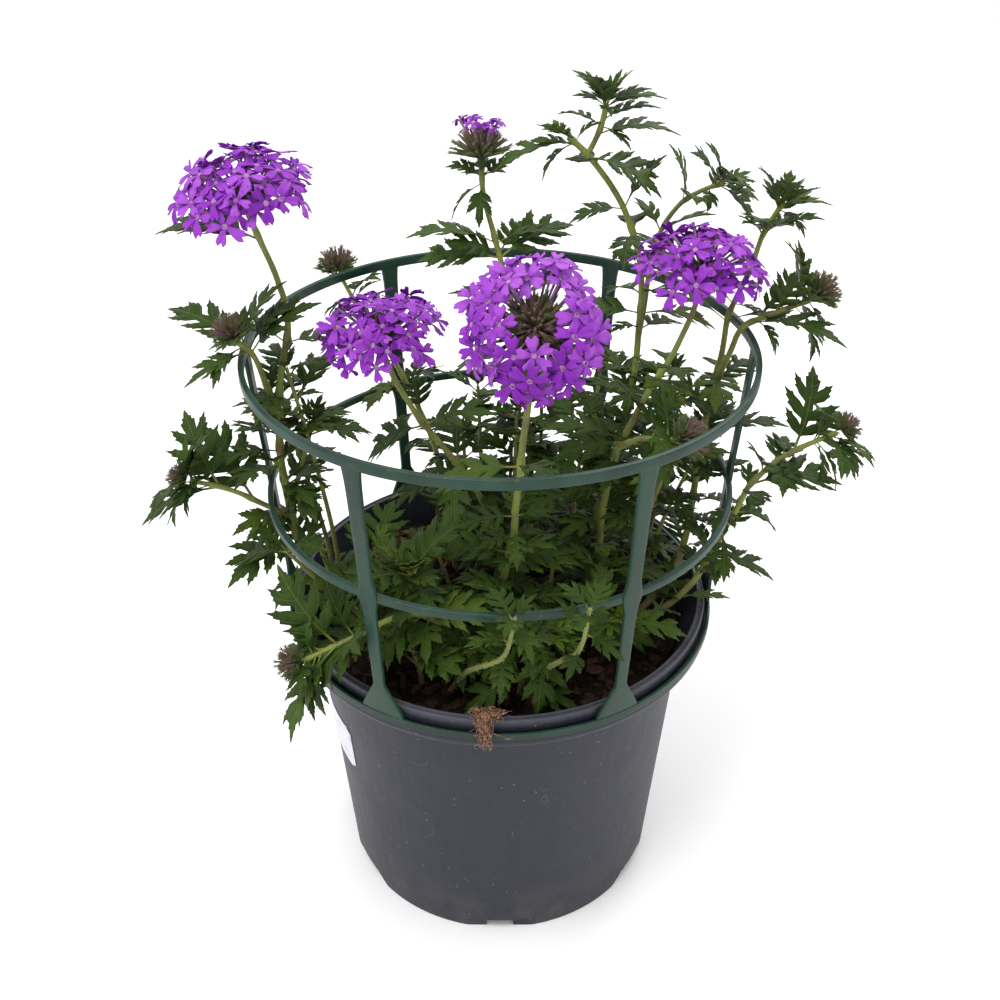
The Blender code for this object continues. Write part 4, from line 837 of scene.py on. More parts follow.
SHOOTS = {
    "stems_left": [
        (
            [(-80, 6, 125), (-80, 6, 141), (-87, 5, 152), (-93, 1, 176), (-95, -2, 200),
             (-96, -3, 225), (-95, -3, 245), (-91, 0, 266), (-88, 4, 280), (-88, 5, 291),
             (-91, 4, 305), (-95, 2, 318), (-98, 0, 330)],
            (2.2, 1.2),
            [(0.42, 80, 34, 20), (0.62, 80, 34, 25), (0.74, 10, 30, 30)],
            [(0.27, 200, 10, 42), (0.34, 190, 25, 28), (0.5, 180, 35, 31), (0.96, 185, 50, 44)],
        ),
        (
            [(-95, -3, 243), (-98, -5, 258), (-100, -8, 271), (-102, -11, 278), (-107, -12, 282)],
            (1.5, 1.1),
            [(0.35, 100, 28, 20)],
            [(0.85, 160, 40, 44), (0.85, 355, 60, 38), (0.97, 220, 70, 36), (0.97, 95, 85, 33)],
        ),
        (
            [(-95, -1, 190), (-98, -11, 199), (-105, -15, 206), (-112, -18, 213), (-123, -22, 220),
             (-132, -24, 223)],
            (1.5, 1.0),
            [],
            [(0.5, 160, 65, 44), (0.8, 170, 55, 39), (0.8, 190, 0, 40), (0.98, 200, 55, 29),
             (0.98, 235, 40, 31)],
        ),
        (
            [(-95, -2, 197), (-89, 5, 210), (-85, 9, 224), (-83, 11, 232)],
            (1.3, 1.0),
            [(0.9, 30, 32, 30)],
            [],
        ),
        (
            [(-81, 6, 143), (-71, -4, 150), (-60, -13, 163), (-56, -20, 183)],
            (1.6, 1.0),
            [(0.6, 0, 34, 15), (0.97, 80, 34, 30)],
            [],
        ),
    ],
    "stems_right": [
        (
            [(60, -16, 125), (60, -16, 142), (70, -16, 146), (80, -14, 152), (89, -12, 162),
             (97, -11, 180), (101, -11, 193), (105, -12, 203), (108, -12, 213), (118, -13, 226),
             (128, -14, 234), (143, -14, 241)],
            (1.9, 1.1),
            [(0.47, 80, 27, 20)],
            [(0.72, 0, 25, 42), (0.88, 35, 65, 40), (0.98, 335, 25, 28), (0.98, 280, 20, 33)],
        ),
        (
            [(60, -16, 141), (68, -10, 147), (76, -4, 152), (83, 0, 163), (87, 6, 180), (89, 12, 200),
             (91, 17, 222), (94, 21, 240), (97, 23, 258), (98, 25, 275), (103, 30, 285),
             (109, 37, 294), (112, 40, 306), (116, 40, 315), (120, 40, 322)],
            (1.9, 1.1),
            [(0.33, 0, 30, 20), (0.62, 80, 34, 15), (0.74, 0, 32, 20)],
            [(0.48, 350, 40, 40), (0.84, 245, 70, 35), (0.93, 235, 55, 22), (0.93, 335, 50, 29),
             (0.99, 235, 80, 26), (0.99, 350, 35, 23), (0.99, 290, 65, 29)],
        ),
        (
            [(94, 21, 240), (96, 15, 255), (99, 11, 268), (101, 11, 277), (106, 11, 280.5),
             (112, 11, 282.5), (120, 13, 285), (131, 14, 289)],
            (1.5, 1.1),
            [],
            [(0.62, 335, 25, 45), (0.8, 0, 65, 25), (0.97, 305, 85, 33), (0.97, 340, 30, 33)],
        ),
    ],
    "stem_tall": [
        (
            [(44, 12, 125), (44, 12, 145), (45, 22, 172), (51, 28, 196), (58, 34, 220), (62, 40, 250),
             (63, 43, 275), (61, 45, 295), (58, 47, 306), (53, 48, 317), (46, 49, 328), (37, 50, 339),
             (28, 50, 347)],
            (2.0, 1.3),
            [(0.5, 80, 36, 15), (0.64, 0, 36, 15), (0.79, 80, 34, 20)],
            [(0.95, 340, 0, 35), (0.99, 180, 5, 38)],
        ),
        (
            [(37, 50, 339), (40, 51, 345), (43, 51, 353), (44, 51, 360)],
            (1.3, 1.0),
            [],
            [(0.5, 0, 25, 36), (0.8, 5, 35, 25), (1.0, 245, 65, 30), (1.0, 355, 50, 21)],
        ),
        (
            [(62, 41, 255), (65, 48, 272), (67, 52, 290), (71, 53, 306), (78, 51, 318), (87, 48, 325),
             (95, 45, 328)],
            (1.4, 1.0),
            [(0.5, 90, 28, 20)],
            [(0.8, 325, 80, 27), (0.8, 290, 30, 30), (0.98, 250, 65, 26), (0.98, 295, 40, 36)],
        ),
    ],
    "stem_right_bloom": [
        (
            [(48, -6, 125), (48, -6, 142), (46, -2, 158), (46, 0, 187), (49, -2, 215), (55, 0, 234),
             (64, 2, 253), (73, 5, 268), (80, 8, 284), (83, 10, 296)],
            (2.0, 1.2),
            [(0.6, 0, 38, 15), (0.78, 90, 34, 15)],
            [],
        ),
        (
            [(50, -2, 218), (50, -20, 238), (57, -36, 251), (70, -45, 254)],
            (1.4, 1.0),
            [(0.55, 0, 32, 10), (0.97, 70, 28, -10)],
            [],
        ),
        (
            [(48, -6, 140), (45, -20, 146), (45, -38, 153), (48, -48, 168)],
            (1.5, 1.0),
            [(0.65, 90, 34, 15), (0.97, 0, 36, 25)],
            [],
        ),
    ],
    "stem_front_bloom": [
        (
            [(-15, -30, 125), (-15, -30, 140), (-6, -25, 152), (2, -27, 177), (6, -33, 202),
             (7, -39, 222), (8, -44, 242), (10, -45, 262), (12, -43, 282), (13, -39, 298)],
            (2.0, 1.3),
            [(0.2, 70, 36, 15), (0.4, 0, 34, 20)],
            [(0.7, 180, 5, 38), (0.7, 295, 40, 33)],
        ),
        (
            [(-15, -30, 140), (-23, -29, 146), (-32, -35, 164), (-38, -44, 190)],
            (1.6, 1.0),
            [(0.5, 0, 36, 15), (0.8, 90, 36, 20), (1.0, 30, 38, 55)],
            [],
        ),
        (
            [(-15, -30, 140), (-2, -38, 146), (11, -50, 155), (20, -58, 167)],
            (1.5, 1.0),
            [(0.95, 80, 36, 20)],
            [],
        ),
    ],
    "stem_back_bloom": [
        (
            [(20, 36, 125), (20, 36, 141), (16, 36, 170), (13, 42, 215), (9, 50, 248), (5, 56, 270),
             (0, 61, 288), (-3, 64, 300), (-6, 67, 309), (-8, 70, 318), (-8, 72, 326)],
            (1.9, 1.2),
            [(0.6, 0, 36, 15)],
            [(0.85, 180, 30, 42), (0.85, 355, 35, 33), (0.98, 180, -25, 22), (0.98, 265, -20, 22)],
        ),
    ],
    "stem_middle_bloom": [
        (
            [(4, 16, 125), (4, 16, 141), (1, 15, 156), (-4, 12, 179), (-13, 8, 203), (-24, 2, 223),
             (-34, -4, 241), (-43, -8, 260), (-48, -9, 276)],
            (1.9, 1.2),
            [(0.36, 0, 34, 15), (0.58, 90, 36, 15), (0.76, 0, 34, 15)],
            [],
        ),
    ],
    "stem_back_bud": [
        (
            [(-22, 30, 125), (-22, 30, 141), (-24, 34, 165), (-30, 44, 195), (-42, 56, 222),
             (-56, 68, 243), (-68, 80, 256), (-74, 86, 265), (-77, 88, 270)],
            (1.7, 1.0),
            [(0.66, 60, 34, 15)],
            [],
        ),
    ],
    "stem_low_front": [
        (
            [(-21, -42, 125), (-21, -42, 145), (-25, -48, 164), (-34, -56, 178), (-46, -66, 182),
             (-57, -74, 181), (-66, -79, 179), (-76, -83, 176), (-80, -85, 175)],
            (1.7, 1.0),
            [(0.5, 0, 34, 10)],
            [(0.72, 220, 0, 44), (0.88, 220, 5, 44), (0.88, 185, 50, 42), (0.97, 215, 20, 32),
             (0.97, 185, 35, 23)],
        ),
    ],
}


def smooth_route(points, spacing=17.0):
    """Points every spacing or so along a Catmull-Rom curve through the route's own points."""
    ends = [2.0 * points[0] - points[1], *points, 2.0 * points[-1] - points[-2]]
    out = []
    for p0, p1, p2, p3 in zip(ends, ends[1:], ends[2:], ends[3:]):
        steps = max(1, round((p2 - p1).length / spacing))
        for i in range(steps):
            t = i / steps
            out.append(0.5 * (
                2.0 * p1 + (p2 - p0) * t
                + (2.0 * p0 - 5.0 * p1 + 4.0 * p2 - p3) * t * t
                + (3.0 * p1 - p0 - 3.0 * p2 + p3) * t ** 3
            ))
    out.append(points[-1].copy())
    return out


def route_line(route):
    """The smooth middle line of a shoot."""
    return smooth_route([Vector(point) for point in route])


def length_of(points):
    return sum((b - a).length for a, b in zip(points, points[1:]))


def along(points, share):
    """Position and direction at a share of the way along a polyline."""
    lengths = [(b - a).length for a, b in zip(points, points[1:])]
    left = share * sum(lengths)
    for a, b, span in zip(points, points[1:], lengths):
        if left <= span or b is points[-1]:
            return a.lerp(b, min(left / span, 1.0)), (b - a).normalized()
        left -= span


def shoot_side(line):
    """The direction that a shoot's leaf pairs are turned from: X, or Y on a shoot that runs along X."""
    run = (line[-1] - line[0]).normalized()
    return Vector((1.0, 0.0, 0.0)) if abs(run.x) < 0.75 else Vector((0.0, 1.0, 0.0))


def pair_sides(line, share, turn):
    """The two directions, square to the stem, in which an opposite pair of leaves stands out."""
    reference = shoot_side(line)
    _, direction = along(line, share)
    flat = (reference - direction * reference.dot(direction)).normalized()
    return [Matrix.Rotation(math.radians(turn + half), 3, direction) @ flat for half in (0, 180)]


def bearing(turn, rise):
    """The direction at a turn from X about Z and a rise above level, in degrees."""
    level = math.cos(math.radians(rise))
    return polar(level, math.radians(turn), math.sin(math.radians(rise)))


stem_finish = Finish("downy_stem", Specular_IOR_Level=0.35, Subsurface_Weight=0.06, Subsurface_Scale=0.002)
spot = stem_finish.place()
height = stem_finish.split(spot, 2) * (1.0 / MM)
blotch = stem_finish.noise(spot, 90.0, 4.0)
ridges = stem_finish.noise(stem_finish.stretched(spot, (1400.0, 1400.0, 60.0)), 1.0, 3.0)
woody = (1.0 - height.rising(134.0, 166.0) + (blotch - 0.5) * 0.5).clamped()
fresh = stem_finish.mixed((blotch - 0.45).rising(0.0, 0.25) * 0.75, STEM_YOUNG, STEM_FLUSH)
bark_tone = stem_finish.mixed(ridges, STEM_OLD, STEM_BARK)
stem_finish.feed("Base Color", stem_finish.mixed(woody, fresh, bark_tone))
stem_finish.feed("Roughness", 0.55 + woody * 0.25)
stem_finish.bump(ridges, 0.00035)
stem_finish.bump(stem_finish.noise(spot, 700.0, 3.0), 0.00012)
hair_finish = Finish("plant_hairs", Roughness=0.7)
hair_tone = hair_finish.noise(hair_finish.place(), 300.0, 2.0)
hair_finish.feed("Base Color", hair_finish.mixed(hair_tone, HAIR_COLOUR, HAIR_SHADED))


def node_shares(shoot):
    """Shares of the way along a shoot at which leaves spring."""
    return sorted({share for share, *_ in shoot[2] + shoot[3]})


def stem_tube(shoot, rng):
    """A shoot's rounded stem, swollen at each node and faintly crooked between them."""
    route, (foot, tip), *_ = shoot
    coarse = route_line(route)
    span = length_of(coarse)
    steps = max(6, int(span / STEM_SPACING))
    nodes = node_shares(shoot)
    seed = rng.uniform(0.0, 60.0)
    points, radii = [], []
    for i in range(steps + 1):
        share = i / steps
        place, heading = along(coarse, share)
        before, _ = along(coarse, max(0.0, share - 4.0 / span))
        after, _ = along(coarse, min(1.0, share + 4.0 / span))
        place = place * 0.5 + (before + after) * 0.25
        fade = min(1.0, 6.0 * share, 6.0 * (1.0 - share))
        sway = Vector(noise.noise(Vector((share * span * 0.045, seed, 3.0 * k))) for k in range(3))
        swell = sum(math.exp(-((share - node) * span / NODE_REACH) ** 2) for node in nodes)
        radius = foot + (tip - foot) * share
        points.append(place + sway * SWAY * fade)
        radii.append(radius * STEM_SHARE * (1.0 + NODE_SWELL * min(1.0, swell)))
    return points, radii


def hair(place, way, length, width, bend):
    """A three-sided spike."""
    side = way.orthogonal().normalized()
    other = way.cross(side)
    base = [place + (side * math.cos(a) + other * math.sin(a)) * width for a in HAIR_CORNERS]
    tip = place + way * length + bend
    return [co * MM for co in (*base, tip)], [(0, 1, 3), (1, 2, 3), (2, 0, 3)]


def hairs_along(points, radii, per_mm, lengths, rng):
    """Hairs all over a stem, so many to the millimetre."""
    out = []
    for a, b, ra, rb in zip(points, points[1:], radii, radii[1:]):
        span = (b - a).length
        heading = (b - a).normalized()
        count = int(span * per_mm + rng.random())
        for _ in range(count):
            t = rng.random()
            turn = Matrix.Rotation(rng.uniform(0.0, FULL_TURN), 3, heading)
            way = turn @ heading.orthogonal().normalized()
            place = a.lerp(b, t) + way * (ra + (rb - ra) * t) * 0.95
            lean = (way + heading * rng.uniform(-0.3, 0.5)).normalized()
            length, bend = rng.uniform(*lengths), heading * rng.uniform(-0.15, 0.15)
            out.append(hair(place, lean, length, HAIR_WIDTH, bend))
    return out


rng = random.Random(3)
stem_lines = {}
for stem_name, shoots in SHOOTS.items():
    tubes, down = [], []
    for index, shoot in enumerate(shoots):
        points, radii = stem_tube(shoot, rng)
        stem_lines[stem_name, index] = (points, radii)
        tubes.append(swept(points, radii, STEM_SIDES))
        shown = [(p, r) for p, r in zip(points, radii) if p.z > SOIL_Z + 6.0]
        if len(shown) > 2:
            down += hairs_along(*zip(*shown), DOWN_PER_MM, (0.5, 1.1), rng)
    stalk = smoothed(gathered(stem_name + "_stalks", tubes, stem_finish), 60.0)
    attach(stalk, "root")
    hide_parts(stem_name)
    fuzz = gathered(stem_name + "_down", down, hair_finish)
    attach(fuzz, "root")

# ---- Leaves --------------------------------------------------------------------------------------
# Deeply cut, toothed leaves with a sunk midrib and side veins, on a short stalk. They are thin, matt
# and downy, darker above than below, and each bends down towards its tip.
LEAF_BEND = 0.9             # turn of the blade from foot to tip, in radians
STEM_LEAF_KINDS = ("cut", "broad", "cut", "long", "long")
LEAF_STEP = 2.5             # how far below its node on the stem a leaf springs
LEAF_OFFSET = 0.3           # and how far off the stem's middle
# A leaf's face is turned this much along its stem, and for the rest to the sky.
FACE_ALONG = 0.6
SKYWARD = (0.0, 0.0, 0.8)
LEAF_SHEET = 0.36
PETIOLE = 0.17
LEAF_VARIANTS = 4
LOBE_WIDTH = 0.215          # half width of a lobe, in its lengths
SMALL_LEAF = 25.0           # a shorter leaf than this has two pairs of lobes, a longer one three
LEAF_PROBES = (0.45, 0.7, 0.86, 0.99)
LEAF_CLOSE = 0.8            # a leaf fits where its rib, at each of those shares, is this near the solid
LEAF_TOP_DARK = (0.011, 0.029, 0.0025)
LEAF_TOP_LIGHT = (0.048, 0.094, 0.008)
LEAF_YELLOWED = (0.1, 0.14, 0.01)
LEAF_UNDER_DARK = (0.036, 0.062, 0.016)
LEAF_UNDER_LIGHT = (0.075, 0.112, 0.03)
LEAF_VEIN = (0.11, 0.155, 0.03)
# A leaf that would meet a neighbour is swung round its stem and lifted, in degrees, in this order.
BENDS_CLEAR = [(0, 0), (14, 0), (-14, 0), (0, 14), (0, -14), (28, 8), (-28, 8), (28, -10), (-28, -10),
               (44, 0), (-44, 0), (0, 28), (0, -28), (44, 20), (-44, 20), (60, 0), (-60, 0)]
SHORTER = (1.0, 0.82)


def lobe_edge(foot, end, tip, wide):
    """One pointed lobe's edge, from its foot out round its teeth to its tip and back to its end."""
    middle = (foot + end) * 0.5
    axis = tip - middle
    across = Vector((-axis.y, axis.x)).normalized() * wide
    if across.x > 0.0:
        across = -across
    # Shares of the way to the tip and across the lobe, the side nearest the leaf's foot first.
    shape = [(0.22, 0.92), (0.42, 0.9), (0.56, 1.0), (0.57, 0.62), (0.77, 0.54), (0.77, 0.3),
             (1.0, 0.0), (0.78, -0.24), (0.72, -0.52), (0.6, -0.38), (0.36, -0.58), (0.18, -0.55)]
    return [foot] + [middle + axis * s + across * c for s, c in shape] + [end]


def leaf_outline(lobes, rng):
    """Half the outline of a leaf, from its foot to its tip, in shares of its length."""
    half = [Vector((0.0, 0.013)), Vector((PETIOLE, 0.014))]
    for foot, end, tip, core in lobes:
        jog = Vector((rng.uniform(-0.02, 0.02), rng.uniform(-0.015, 0.02)))
        far = Vector(tip) + jog
        wide = LOBE_WIDTH * (far - Vector((foot, core))).length
        half += lobe_edge(Vector((foot, core * 0.8)), Vector((end, core)), far, wide)
    half += [Vector(point) for point in
             ((0.79, 0.08), (0.83, 0.086), (0.84, 0.054), (0.885, 0.057), (0.895, 0.033), (0.95, 0.02))]
    half.append(Vector((1.0, 0.0)))
    return half


# The lobes on one side of a leaf: where each leaves the blade and comes back to it along the rib, its
# tip, and the half width of the blade between lobes, in shares of the leaf's length.
LEAF_LOBES = {
    "broad": [(0.2, 0.32, (0.47, 0.3), 0.055), (0.38, 0.51, (0.7, 0.33), 0.085),
              (0.57, 0.68, (0.87, 0.21), 0.08)],
    "cut": [(0.18, 0.28, (0.41, 0.26), 0.035), (0.35, 0.47, (0.64, 0.33), 0.055),
            (0.54, 0.65, (0.83, 0.22), 0.062)],
    "long": [(0.26, 0.36, (0.5, 0.19), 0.04), (0.43, 0.54, (0.69, 0.23), 0.06),
             (0.61, 0.7, (0.86, 0.15), 0.06)],
    "small": [(0.25, 0.35, (0.53, 0.25), 0.048), (0.43, 0.55, (0.78, 0.26), 0.07)],
}


def leaf_pattern(kind, seed):
    """A flat leaf as points and triangles: its outline, its rib, and points up each lobe."""
    rng = random.Random(seed)
    lobes = LEAF_LOBES[kind]
    near, far = leaf_outline(lobes, rng), leaf_outline(lobes, rng)
    loop = near + [Vector((point.x, -point.y)) for point in reversed(far[:-1])]
    inner = [Vector((0.05 * k, 0.0)) for k in range(1, 20)]
    for foot, end, tip, core in lobes:
        for side in (-1.0, 1.0):
            start = Vector(((foot + end) * 0.5, 0.0))
            finish = Vector((tip[0], side * tip[1]))
            inner += [start.lerp(finish, t) for t in (0.3, 0.5, 0.7, 0.85)]
    count = len(loop)
    edges = [(i, (i + 1) % count) for i in range(count)]
    verts, _, faces, _, _, _ = delaunay_2d_cdt(loop + inner, edges, [list(range(count))], 1, 1e-5)
    return [(v.x, v.y) for v in verts], [tuple(face) for face in faces]


LEAF_PATTERNS = {kind: [leaf_pattern(kind, seed) for seed in range(LEAF_VARIANTS)] for kind in LEAF_LOBES}


def blade(x, y, length, curl, twist, wave, bend=LEAF_BEND):
    """A point of the blade, in the leaf's own frame: out along the rib, across it, and up."""
    turn = bend * x
    reach = math.sin(turn) / bend
    drop = (1.0 - math.cos(turn)) / bend
    bold = max(0.0, x - PETIOLE)
    cup = 0.22 * abs(y) - curl * y * y + twist * y * bold
    pucker = 0.010 * math.sin(30.0 * (x + wave)) * min(1.0, 8.0 * abs(y)) * min(1.0, 9.0 * bold)
    return Vector((reach, y, cup + pucker - drop)) * length


def leaning(along_stem, side, swing, rise):
    """A leaf's way out from its stem, swung round it and raised from square to it, in degrees."""
    across = Matrix.Rotation(math.radians(swing), 3, along_stem) @ side
    angle = math.radians(rise)
    return (across * math.cos(angle) + along_stem * math.sin(angle)).normalized()


def leaf_frame(out, up):
    """The turn of a leaf whose rib runs out and whose upper face looks up."""
    side = up.cross(out).normalized()
    return Matrix((out, side, out.cross(side).normalized())).transposed()


def leaf_stance(place, along_stem, side, rise, length, tree):
    """The stance and length that the leaf stands at, or None where it has no room on the stem."""
    up = along_stem * FACE_ALONG + Vector(SKYWARD)
    for scale in SHORTER:
        for swing, lift in BENDS_CLEAR:
            frame_of = leaf_frame(leaning(along_stem, side, swing, rise + lift), up)
            gaps = []
            for x in LEAF_PROBES:
                co = frame_of @ blade(x, 0.0, length * scale, 0.0, 0.0, 0.0) + place
                gaps.append(tree.find_nearest(co * MM)[3] / MM)
            if max(gaps) < LEAF_CLOSE:
                return frame_of, length * scale
    return None


def tree_of(mesh):
    """A search tree of a mesh's faces."""
    corners = [tuple(v.co) for v in mesh.vertices]
    return BVHTree.FromPolygons(corners, [tuple(p.vertices) for p in mesh.polygons])


def leaf_at(place, frame_of, length, pattern, rng, bend=LEAF_BEND):
    """Corners, triangles, leaf coordinates and a tint of one leaf."""
    points, faces = pattern
    curl, twist, wave = rng.uniform(-0.1, 0.45), rng.uniform(-0.25, 0.25), rng.uniform(0.0, 1.0)
    corners = [(frame_of @ blade(x, y, length, curl, twist, wave, bend) + place) * MM for x, y in points]
    return corners, faces, [(x, 0.5 + y) for x, y in points], rng.random()


def thin_sheets(name, sheets, finishes, chart_name, thickness):
    """One piece from many sheets, each with a chart and a tint, given their thickness. The last finish
    is that of their undersides."""
    corners, faces, flat, tints = [], [], [], []
    for points, sides, where, tint in sheets:
        start = len(corners)
        corners += points
        faces += [tuple(start + i for i in side) for side in sides]
        flat += where
        tints += [tint] * len(sides)
    mesh = bpy.data.meshes.new(name)
    mesh.from_pydata([tuple(co) for co in corners], [], faces)
    chart = mesh.uv_layers.new(name=chart_name)
    for loop in mesh.loops:
        chart.data[loop.index].uv = flat[loop.vertex_index]
    tint_layer = mesh.attributes.new("tint", "FLOAT", "FACE")
    tint_layer.data.foreach_set("value", tints)
    for polygon in mesh.polygons:
        polygon.use_smooth = True
    piece = add_piece(name, mesh, *finishes)
    return settled(thickened(piece, thickness, 0.0, len(finishes) - 1))


def leaf_colours(name, dark, light, relief):
    """The finish of one side of a leaf: mottled green, its veins paler."""
    finish = Finish(name, Specular_IOR_Level=0.16, Subsurface_Weight=0.05, Subsurface_Scale=0.0015)
    spot = finish.place()
    chart = finish.node("ShaderNodeUVMap", {"uv_map": "leaf"})
    along_rib = finish.split(chart, 0)
    off_rib = abs(finish.split(chart, 1) - 0.5)
    tint = finish.node("ShaderNodeAttribute", {"attribute_name": "tint"}, output=2)
    mottle = finish.noise(spot, 170.0, 4.0)
    midrib = 1.0 - off_rib.rising(0.004, 0.014)
    wave = finish.maths("FRACT", (along_rib - off_rib * 0.95) * 7.2 + 0.3)
    side_veins = 1.0 - abs(wave - 0.5).rising(0.03, 0.09)
    veins = (midrib + side_veins * 0.6).clamped() * along_rib.rising(0.12, 0.2)
    green = finish.mixed((mottle * 0.7 + tint * 0.55 - 0.15).clamped(), dark, light)
    green = finish.mixed((tint - 0.8).rising(0.0, 0.2) * mottle * 0.6, green, LEAF_YELLOWED)
    green = finish.mixed(veins * 0.45, green, LEAF_VEIN)
    finish.feed("Base Color", finish.mixed(1.0 - along_rib.rising(0.08, 0.2), green, STEM_YOUNG))
    finish.feed("Roughness", 0.42 + mottle * 0.22)
    finish.bump(finish.noise(spot, 900.0, 3.0), 0.00012)
    finish.bump(veins, relief)
    return finish


leaf_finishes = [
    leaf_colours("leaf_upper", LEAF_TOP_DARK, LEAF_TOP_LIGHT, -0.0005),
    leaf_colours("leaf_under", LEAF_UNDER_DARK, LEAF_UNDER_LIGHT, 0.0004),
]

rng = random.Random(21)
for stem_name, shoots in SHOOTS.items():
    cad_tree = tree_of(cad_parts[stem_name].data)
    leaves = []
    for index, (route, _, pairs, lone) in enumerate(shoots):
        line = route_line(route)
        wanted = []
        for share, turn, length, rise in pairs:
            wanted += [(share, side, length, rise) for side in pair_sides(line, share, turn)]
        wanted += [(share, bearing(turn, rise), length, 0) for share, turn, rise, length in lone]
        for share, side, length, rise in wanted:
            place, direction = along(line, share)
            foot_place = place - direction * LEAF_STEP + side * LEAF_OFFSET
            stance = leaf_stance(foot_place, direction, side, rise, length, cad_tree)
            if not stance:
                continue
            frame_of, length = stance
            kind = "small" if length < SMALL_LEAF else rng.choice(STEM_LEAF_KINDS)
            leaves.append(leaf_at(foot_place, frame_of, length, rng.choice(LEAF_PATTERNS[kind]), rng))
    foliage = thin_sheets(stem_name + "_leaves", leaves, leaf_finishes, "leaf", LEAF_SHEET)
    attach(foliage, "root")
    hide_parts(stem_name)

# ---- Side leaves and low growth ------------------------------------------------------------------
# Small leaves stand in the axils all the way up the stems, and short leafy shoots crowd the foot of
# the plant, half hiding the soil. Two of them lean out at the front, before the middle hoop.
AXIL_SPACING = 12.5
FRESH = 0.5                 # how much brighter the leaves at the growing tips are
OPEN_ABOVE = 238.0          # above this height only every third node has leaves in its axils
OPEN_STEMS = ("stems_left",)  # and these stems are as open as that at any height
BARE_UNDER_BLOOM = 0.54     # a stem that ends in a bloom is bare above this share of its length
LEAFY_TO = 0.97             # and any other has axil leaves up to this share
SMALL_SIDE_LEAF = 17.0
SIDE_LEAF_KINDS = ("cut", "broad", "long", "small")
SIDE_SWINGS = (0.0, 35.0, -35.0, 75.0, -75.0)
SIDE_BENDS = (0.4, 1.2)
AXIL_LIFT = 0.4             # how far off the stem's middle a side leaf springs
# Leaves in the axils, below a growing tip, at it, and at the tip of a low shoot: the shares of the
# way along at which pairs stand, which in the axils are the nodes', then the range of their lengths
# and the range of their rises.
AXIL_LEAVES = (15.0, 32.0), (10.0, 60.0)
UPPER_LEAVES = (0.93, 0.985), (15.0, 27.0), (15.0, 50.0)
TIP_LEAVES = (0.975, 0.995), (14.0, 23.0), (50.0, 82.0)
LOW_TIP_LEAVES = (0.99,), (10.0, 18.0), (45.0, 75.0)
# Where a leaf's face is turned besides: to the front, or forwards and up under a flower head.
FORWARD, CUPPING = (0.0, -0.75, 0.55), (0.0, -0.4, 0.7)
# Full pairs of leaves that the stems carry besides: the stem, the index of its shoot, the share of the
# way along it, the turn about it, their length, and their rise above square to it.
FULL_PAIRS = [
    ("stem_back_bloom", 0, 0.7, 0, 30, 42),
    ("stems_left", 2, 0.97, 20, 29, 30),
    ("stems_right", 0, 0.96, 20, 31, 30), ("stems_right", 0, 0.8, 75, 28, 25),
    ("stem_low_front", 0, 0.8, 60, 27, 20), ("stem_low_front", 0, 0.95, 20, 27, 40),
    ("stems_left", 1, 0.85, 30, 30, 30), ("stems_right", 2, 0.9, 20, 30, 30),
    ("stem_right_bloom", 0, 0.7, 20, 30, 20), ("stem_right_bloom", 0, 0.8, 90, 28, 20),
]
# Pairs that turn their faces to the front, given in the same way, and those that cup a flower head.
FRONT_PAIRS = [("stem_back_bloom", 0, 0.81, 0, 41, 28), ("stem_back_bloom", 0, 0.82, 35, 26, 38)]
CUPPING_PAIRS = [("stem_back_bloom", 0, 0.99, 15, 17, 38), ("stem_back_bloom", 0, 0.995, 80, 15, 40),
                 ("stem_back_bloom", 0, 0.985, 125, 16, 30)]
# Roots of the low shoots (x, y), the way each leans (bearing in degrees, reach), its height, how
# early it leans out (0 to 1), and the share of its length, from the tip, that is leafy.
LOW_SHOOTS = [
    (-52, -30, 200, 14, 36, 0, 0.64), (-38, -34, 235, 10, 46, 0, 0.64), (-34, -54, 250, 8, 30, 0, 0.64),
    (-12, -52, 265, 8, 30, 0, 0.64), (4, -34, 300, 9, 42, 0, 0.5), (8, -62, 285, 7, 22, 0, 0.64),
    (34, -24, 10, 12, 44, 0, 0.5), (22, -8, 60, 10, 48, 0, 0.5), (-20, -8, 150, 12, 44, 0, 0.5),
    (36, 30, 40, 12, 60, 0, 0.64), (4, 44, 80, 10, 66, 0, 0.64), (66, 16, 20, 8, 50, 0, 0.64),
    (-24, -56, 300, 59, 84, 1, 0.32), (14, -54, 290, 56, 88, 1, 0.32),
    (-76, -4, 190, 22, 92, 0, 0.25), (-78, 8, 170, 20, 112, 0, 0.22), (-72, -16, 205, 24, 58, 0, 0.35),
    (-74, 2, 182, 16, 132, 0, 0.18),
    (58, -4, 350, 18, 98, 0, 0.4), (58, 22, 20, 20, 116, 0, 0.4), (40, 40, 60, 14, 108, 0, 0.45),
    (20, 48, 90, 12, 98, 0, 0.45), (-8, 40, 100, 14, 96, 0, 0.45), (28, 62, 80, 8, 34, 0, 0.6),
    (-30, 56, 110, 9, 30, 0, 0.6), (52, 44, 40, 8, 36, 0, 0.6), (6, 22, 80, 10, 94, 0, 0.45),
    (32, 12, 50, 10, 96, 0, 0.45), (-14, 24, 110, 10, 84, 0, 0.4), (66, 6, 10, 22, 84, 0, 0.4),
]
SHOOT_SINK = 6.0            # how far below the soil a low shoot's foot stands
SHOOT_RADIUS = 1.25
SHOOT_TAPER = 0.5
SHOOT_SIDES = 8
SHOOT_DOWN_PER_MM = 4.0
LEAFY_SPACING = 10.0
# The low leaves get painted shade: their tint is scaled by this.
LOW_LEAF_PAINTED_SHADE = 0.7                # tint of the low leaves, which the rest shade
